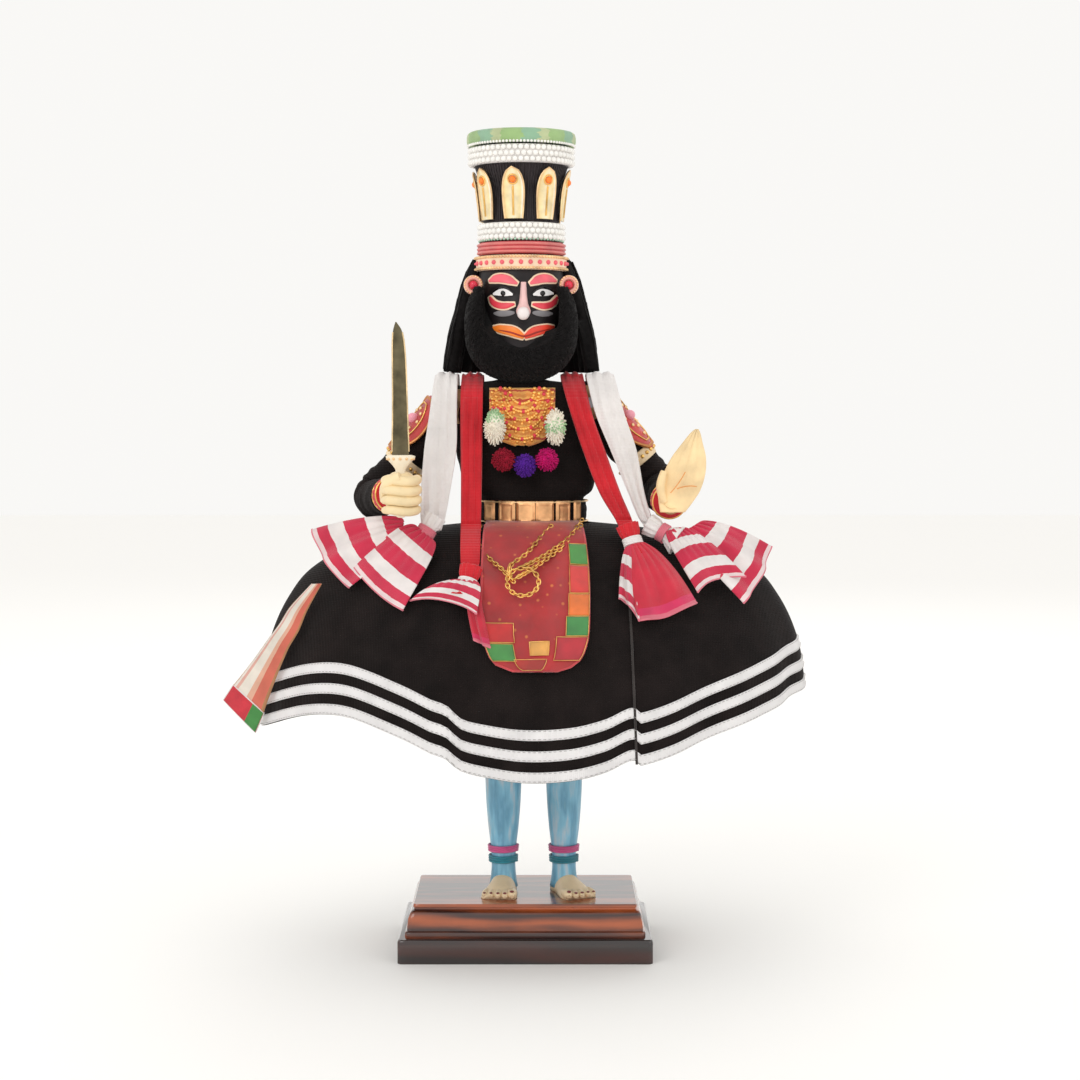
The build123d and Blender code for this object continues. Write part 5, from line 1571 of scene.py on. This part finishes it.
neckLook = {  # middle, direction, stole colour, thread colour
    "whiteRightNeck": ((-47.5, -43.0, 212.0), (-12, -6, -20), "white"),
    "redRightNeck": ((-27.0, -65.0, 189.0), (-5, -12, -20), "red"),
    "redLeftNeck": ((51.6, -48.6, 207.5), (8, -10, -24), "red"),
    "whiteLeftNeck": ((66.5, -42.5, 211.5), (22, -8, -12), "white"),
}
for name, (spot, way, colour) in neckLook.items():
    ahead = Vector(way).normalized()
    side = ahead.cross(Vector((0, -1, 0.2))).normalized()
    up = side.cross(ahead).normalized()

    def neckPlace(u, v):
        d = -9 + 17 * v
        wide = between([(-9, 4.6), (-4, 4.0), (-1.5, 3.1), (1.5, 3.1), (4, 4.4), (8, 6.4)], d)[0]
        turn = u * fullTurn
        pleat = 0.35 * sin(11 * turn) * min(1, abs(d) / 4)
        return Vector(spot) + ahead * d + (side * cos(turn) * 1.15 + up * sin(turn) * 0.8) * (wide + pleat)

    neck = shapedRing(name, 66, 24, neckPlace)
    finishPiece(neck, "stand", redCotton if colour == "red" else whiteCotton,
        [colour + "_bindings"] if name in ("whiteRightNeck", "redRightNeck") else ())
    wound = []
    for s in range(24 * 4 + 1):
        turn = s / 24 * fullTurn
        d = -1.9 + 3.8 * s / 96
        wound.append(tuple(Vector(spot) + ahead * d + (side * cos(turn) * 1.15 + up * sin(turn) * 0.8) * 3.7))
    cord = threads(name + "Binding", [wound], 0.62, 2)
    finishPiece(cord, "stand",
        whiteCotton if colour == "red" else hemPink)
print("stole ends bound")

# ribbon at the side and its tab
ribbonEnd = {"outer": (-142.2, -33.5, 136.6), "inner": (-128.0, -30.0, 122.4)}  # where the tab begins
ribbonRows = [(187, -97.8, -102.6), (176, -105.0, -113), (168, -109.0, -118.2), (160, -114.6, -124),
    (146, -121.4, -134), (136, -126.0, -142)]
ribbonStops = [(0.0, (0.52, 0.24, 0.10)), (0.10, (0.74, 0.17, 0.11)), (0.42, (0.86, 0.48, 0.34)),
    (0.58, (0.92, 0.84, 0.74)), (0.86, (0.84, 0.46, 0.38)), (0.94, (0.90, 0.82, 0.74))]
ribbonFinish = bandedFinish("ribbonCloth", ribbonStops, 0.12, axis="X", counts=(60, 160))


def ribbonPoint(u, z):
    inner, outer = between(ribbonRows, z)
    y = between([(100, -23), (118, -27.5), (132, -32), (150, -39.5), (168, -42.6), (190, -43)], z)[0]
    drop = -6.0 * (1 - u) * min(1, (187 - z) / 30)
    return inner + (outer - inner) * u, y - 0.5 * sin(3 * u + z * 0.2), z + drop


def ribbonPlace(u, v):  # its end runs along the top of the tab
    spot = Vector(ribbonPoint(u, 187 - 48 * v))
    end = Vector(ribbonEnd["inner"]).lerp(Vector(ribbonEnd["outer"]), u)
    near = max(0.0, (v - 0.62) / 0.38)
    return tuple(spot.lerp(end, near * near * (3 - 2 * near)))


ribbon = shapedSheet("sideRibbon", 12, 70, ribbonPlace)
thicken(ribbon, 0.8, 0.0)
finishPiece(ribbon, "stand", ribbonFinish, ["side_ribbon"])


def tabPlace(u, v):
    top = Vector(ribbonEnd["outer"]).lerp(Vector(ribbonEnd["inner"]), u)
    low = Vector((-147.3, -31.0, 129.0)).lerp(Vector((-132.6, -26.6, 112.4)), u)
    spot = top.lerp(low, v)
    return tuple(spot + Vector((0, -0.6 * sin(3 * u), 0)))


tabFinish = bandedFinish("tabCloth", [(0.0, (0.66, 0.03, 0.05)), (0.66, (0.06, 0.28, 0.06))], 0.25, axis="X",
    counts=(70, 50))
tab = shapedSheet("ribbonTab", 16, 16, tabPlace)
thicken(tab, 0.9, 0.0)
finishPiece(tab, "stand", tabFinish, ["ribbon_patch"])
eighths = [k / 8 for k in range(8)]
rim = [tabPlace(t, 0) for t in eighths] + [tabPlace(1, t) for t in eighths]
rim += [tabPlace(1 - t, 1) for t in eighths] + [tabPlace(0, 1 - t) for t in eighths]
finishPiece(threads("ribbonTabEdge", [rim], 0.5, 1, closed=True), "stand", whiteCotton)
print("ribbon tied")


# padding under the skirt
def paddingPlace(u, v):
    turn = u * fullTurn
    ring = v * fullTurn
    low, high = 159.0, 205.0
    s = (1 - cos(ring)) / 2
    z = low + (high - low) * (0.5 - 0.5 * cos(pi * s))
    if sin(ring) >= 0:
        wide, deep = between(skirtRows, z)
        lump = 0.8 * sin(12 * turn) * sin(z * 0.25)
        wide, deep = (wide - 7.5 + lump - 4 * (1 - abs(sin(ring))),
            deep - 7.0 + lump - 3 * (1 - abs(sin(ring))))
    else:
        wide, deep = 38 + 0.6 * sin(9 * turn), 29 + 0.6 * sin(9 * turn)
        if z > 196:
            wide += (z - 196) * 1.2
    return 4 + wide * cos(turn), deep * sin(turn), z


calico = clothFinish("calicoLining", (0.42, 0.34, 0.24), 0.2, 0.8)
stuffing = shapedRing("skirtStuffing", 90, 48, paddingPlace, holes=False)
finishPiece(stuffing, "stand", calico, ["skirt_padding"])

# small hard parts keep their CAD shape
woodRaw = varnishFinish("carvedWood", (0.30, 0.17, 0.08), (0.52, 0.33, 0.17), 0.6, 0.0, 40)
steel = giltFinish("steel", (0.42, 0.42, 0.44), 0.3)
hiddenParts = {name: woodRaw for name in ("torso_core", "neck_dowel", "right_arm_core", "left_arm_core")}
hiddenParts.update({name: steel for name in ("base_screws", "leg_screws", "shoulder_nails")})
for name, finish in hiddenParts.items():
    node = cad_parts[name]
    if not node.material_slots:
        node.data.materials.append(finish)
    for slot in node.material_slots:
        slot.material = finish
print("hidden parts finished")

# sheets of cloth, flat sizes in metres: width, length, how it is held, what it lies on
sheetLook = {
    "bellSkirt": (0.72, 0.130, "gathered", "skirtStuffing"),
    "hemTapes": (0.74, 0.0155, "laid", "bellSkirt"),
    "frontApron": (0.056, 0.080, "draped", "bellSkirt"),
    "redStole": (0.0212, 0.180, "draped", "jacketBody"),
    "whiteStole": (0.0225, 0.170, "draped", "jacketBody"),
    "sideRibbon": (0.0115, 0.066, "hung", "bellSkirt"),
    "ribbonTab": (0.020, 0.012, "hung", "bellSkirt"),
    "necklaceBib": (0.028, 0.032, "laid", "jacketBody"),
    "whiteRightLobe": (0.038, 0.034, "gathered", "bellSkirt"),
    "whiteRightWing": (0.040, 0.034, "gathered", "bellSkirt"),
    "redRightLobe": (0.026, 0.018, "gathered", "bellSkirt"),
    "redRightTail": (0.012, 0.030, "gathered", "bellSkirt"),
    "redLeftBell": (0.034, 0.033, "gathered", "bellSkirt"),
    "redLeftFrill": (0.014, 0.032, "gathered", "bellSkirt"),
    "whiteLeftLobe": (0.028, 0.027, "gathered", "bellSkirt"),
    "whiteLeftWing": (0.037, 0.036, "gathered", "bellSkirt"),
}
sewnOn = {
    "bellSkirt": ["skirtLapEdge"],
    "hemTapes": ["hemStitches"],
    "frontApron": [row[0] for row in patchLook] + ["apronPatchCords", "apronPiping"],
    "ribbonTab": ["ribbonTabEdge"],
}
for name, (wide, long, held, under) in sheetLook.items():
    sewn = [bpy.data.objects[extra] for extra in sewnOn.get(name, [])]
    if name + "Hem" in bpy.data.objects:
        sewn.append(bpy.data.objects[name + "Hem"])

# floor, lights and camera
clearSelection()
bpy.ops.mesh.primitive_plane_add(size=8)
floor = bpy.context.object
floor.name = "paleFloor"
floorFinish, tree, shader = startFinish("floorPaint", 0.9)
setShader(shader, Base_Color=(0.99, 0.98, 0.96, 1))
floor.data.materials.append(floorFinish)
world = bpy.data.worlds.new("softWorld")
world.use_nodes = True
sky = world.node_tree.nodes["Background"].inputs
sky["Color"].default_value = (1.0, 0.99, 0.97, 1)
sky["Strength"].default_value = 0.95
bpy.context.scene.world = world
# spot, watts and size in metres
lampLook = {"key": ((-0.9, -1.5, 1.3), 7, 0.9), "fill": ((1.2, -1.2, 0.8), 2, 1.0),
    "rim": ((0.2, 1.3, 1.2), 3, 1.0)}
for name, (spot, power, size) in lampLook.items():
    lampData = bpy.data.lights.new(name + "Lamp", "AREA")
    lampData.energy = power
    lampData.size = size
    lamp = bpy.data.objects.new(name + "Lamp", lampData)
    lamp.location = spot
    lamp.rotation_euler = (Vector((0, 0, 0.2)) - Vector(spot)).to_track_quat("-Z", "Y").to_euler()
    bpy.context.collection.objects.link(lamp)
cameraLook = {"lens": 70, "sensor": 36, "spot": (0.00725, -1.050, 0.275), "tilt": 86.2}
cameraData = bpy.data.cameras.new("lookCamera")
cameraData.lens = cameraLook["lens"]
cameraData.sensor_width = cameraLook["sensor"]
cameraObject = bpy.data.objects.new("lookCamera", cameraData)
cameraObject.location = cameraLook["spot"]
cameraObject.rotation_euler = (radians(cameraLook["tilt"]), 0, 0)
bpy.context.collection.objects.link(cameraObject)
bpy.context.scene.camera = cameraObject
bpy.context.scene.view_settings.view_transform = "Standard"
bpy.context.scene.view_settings.look = "None"
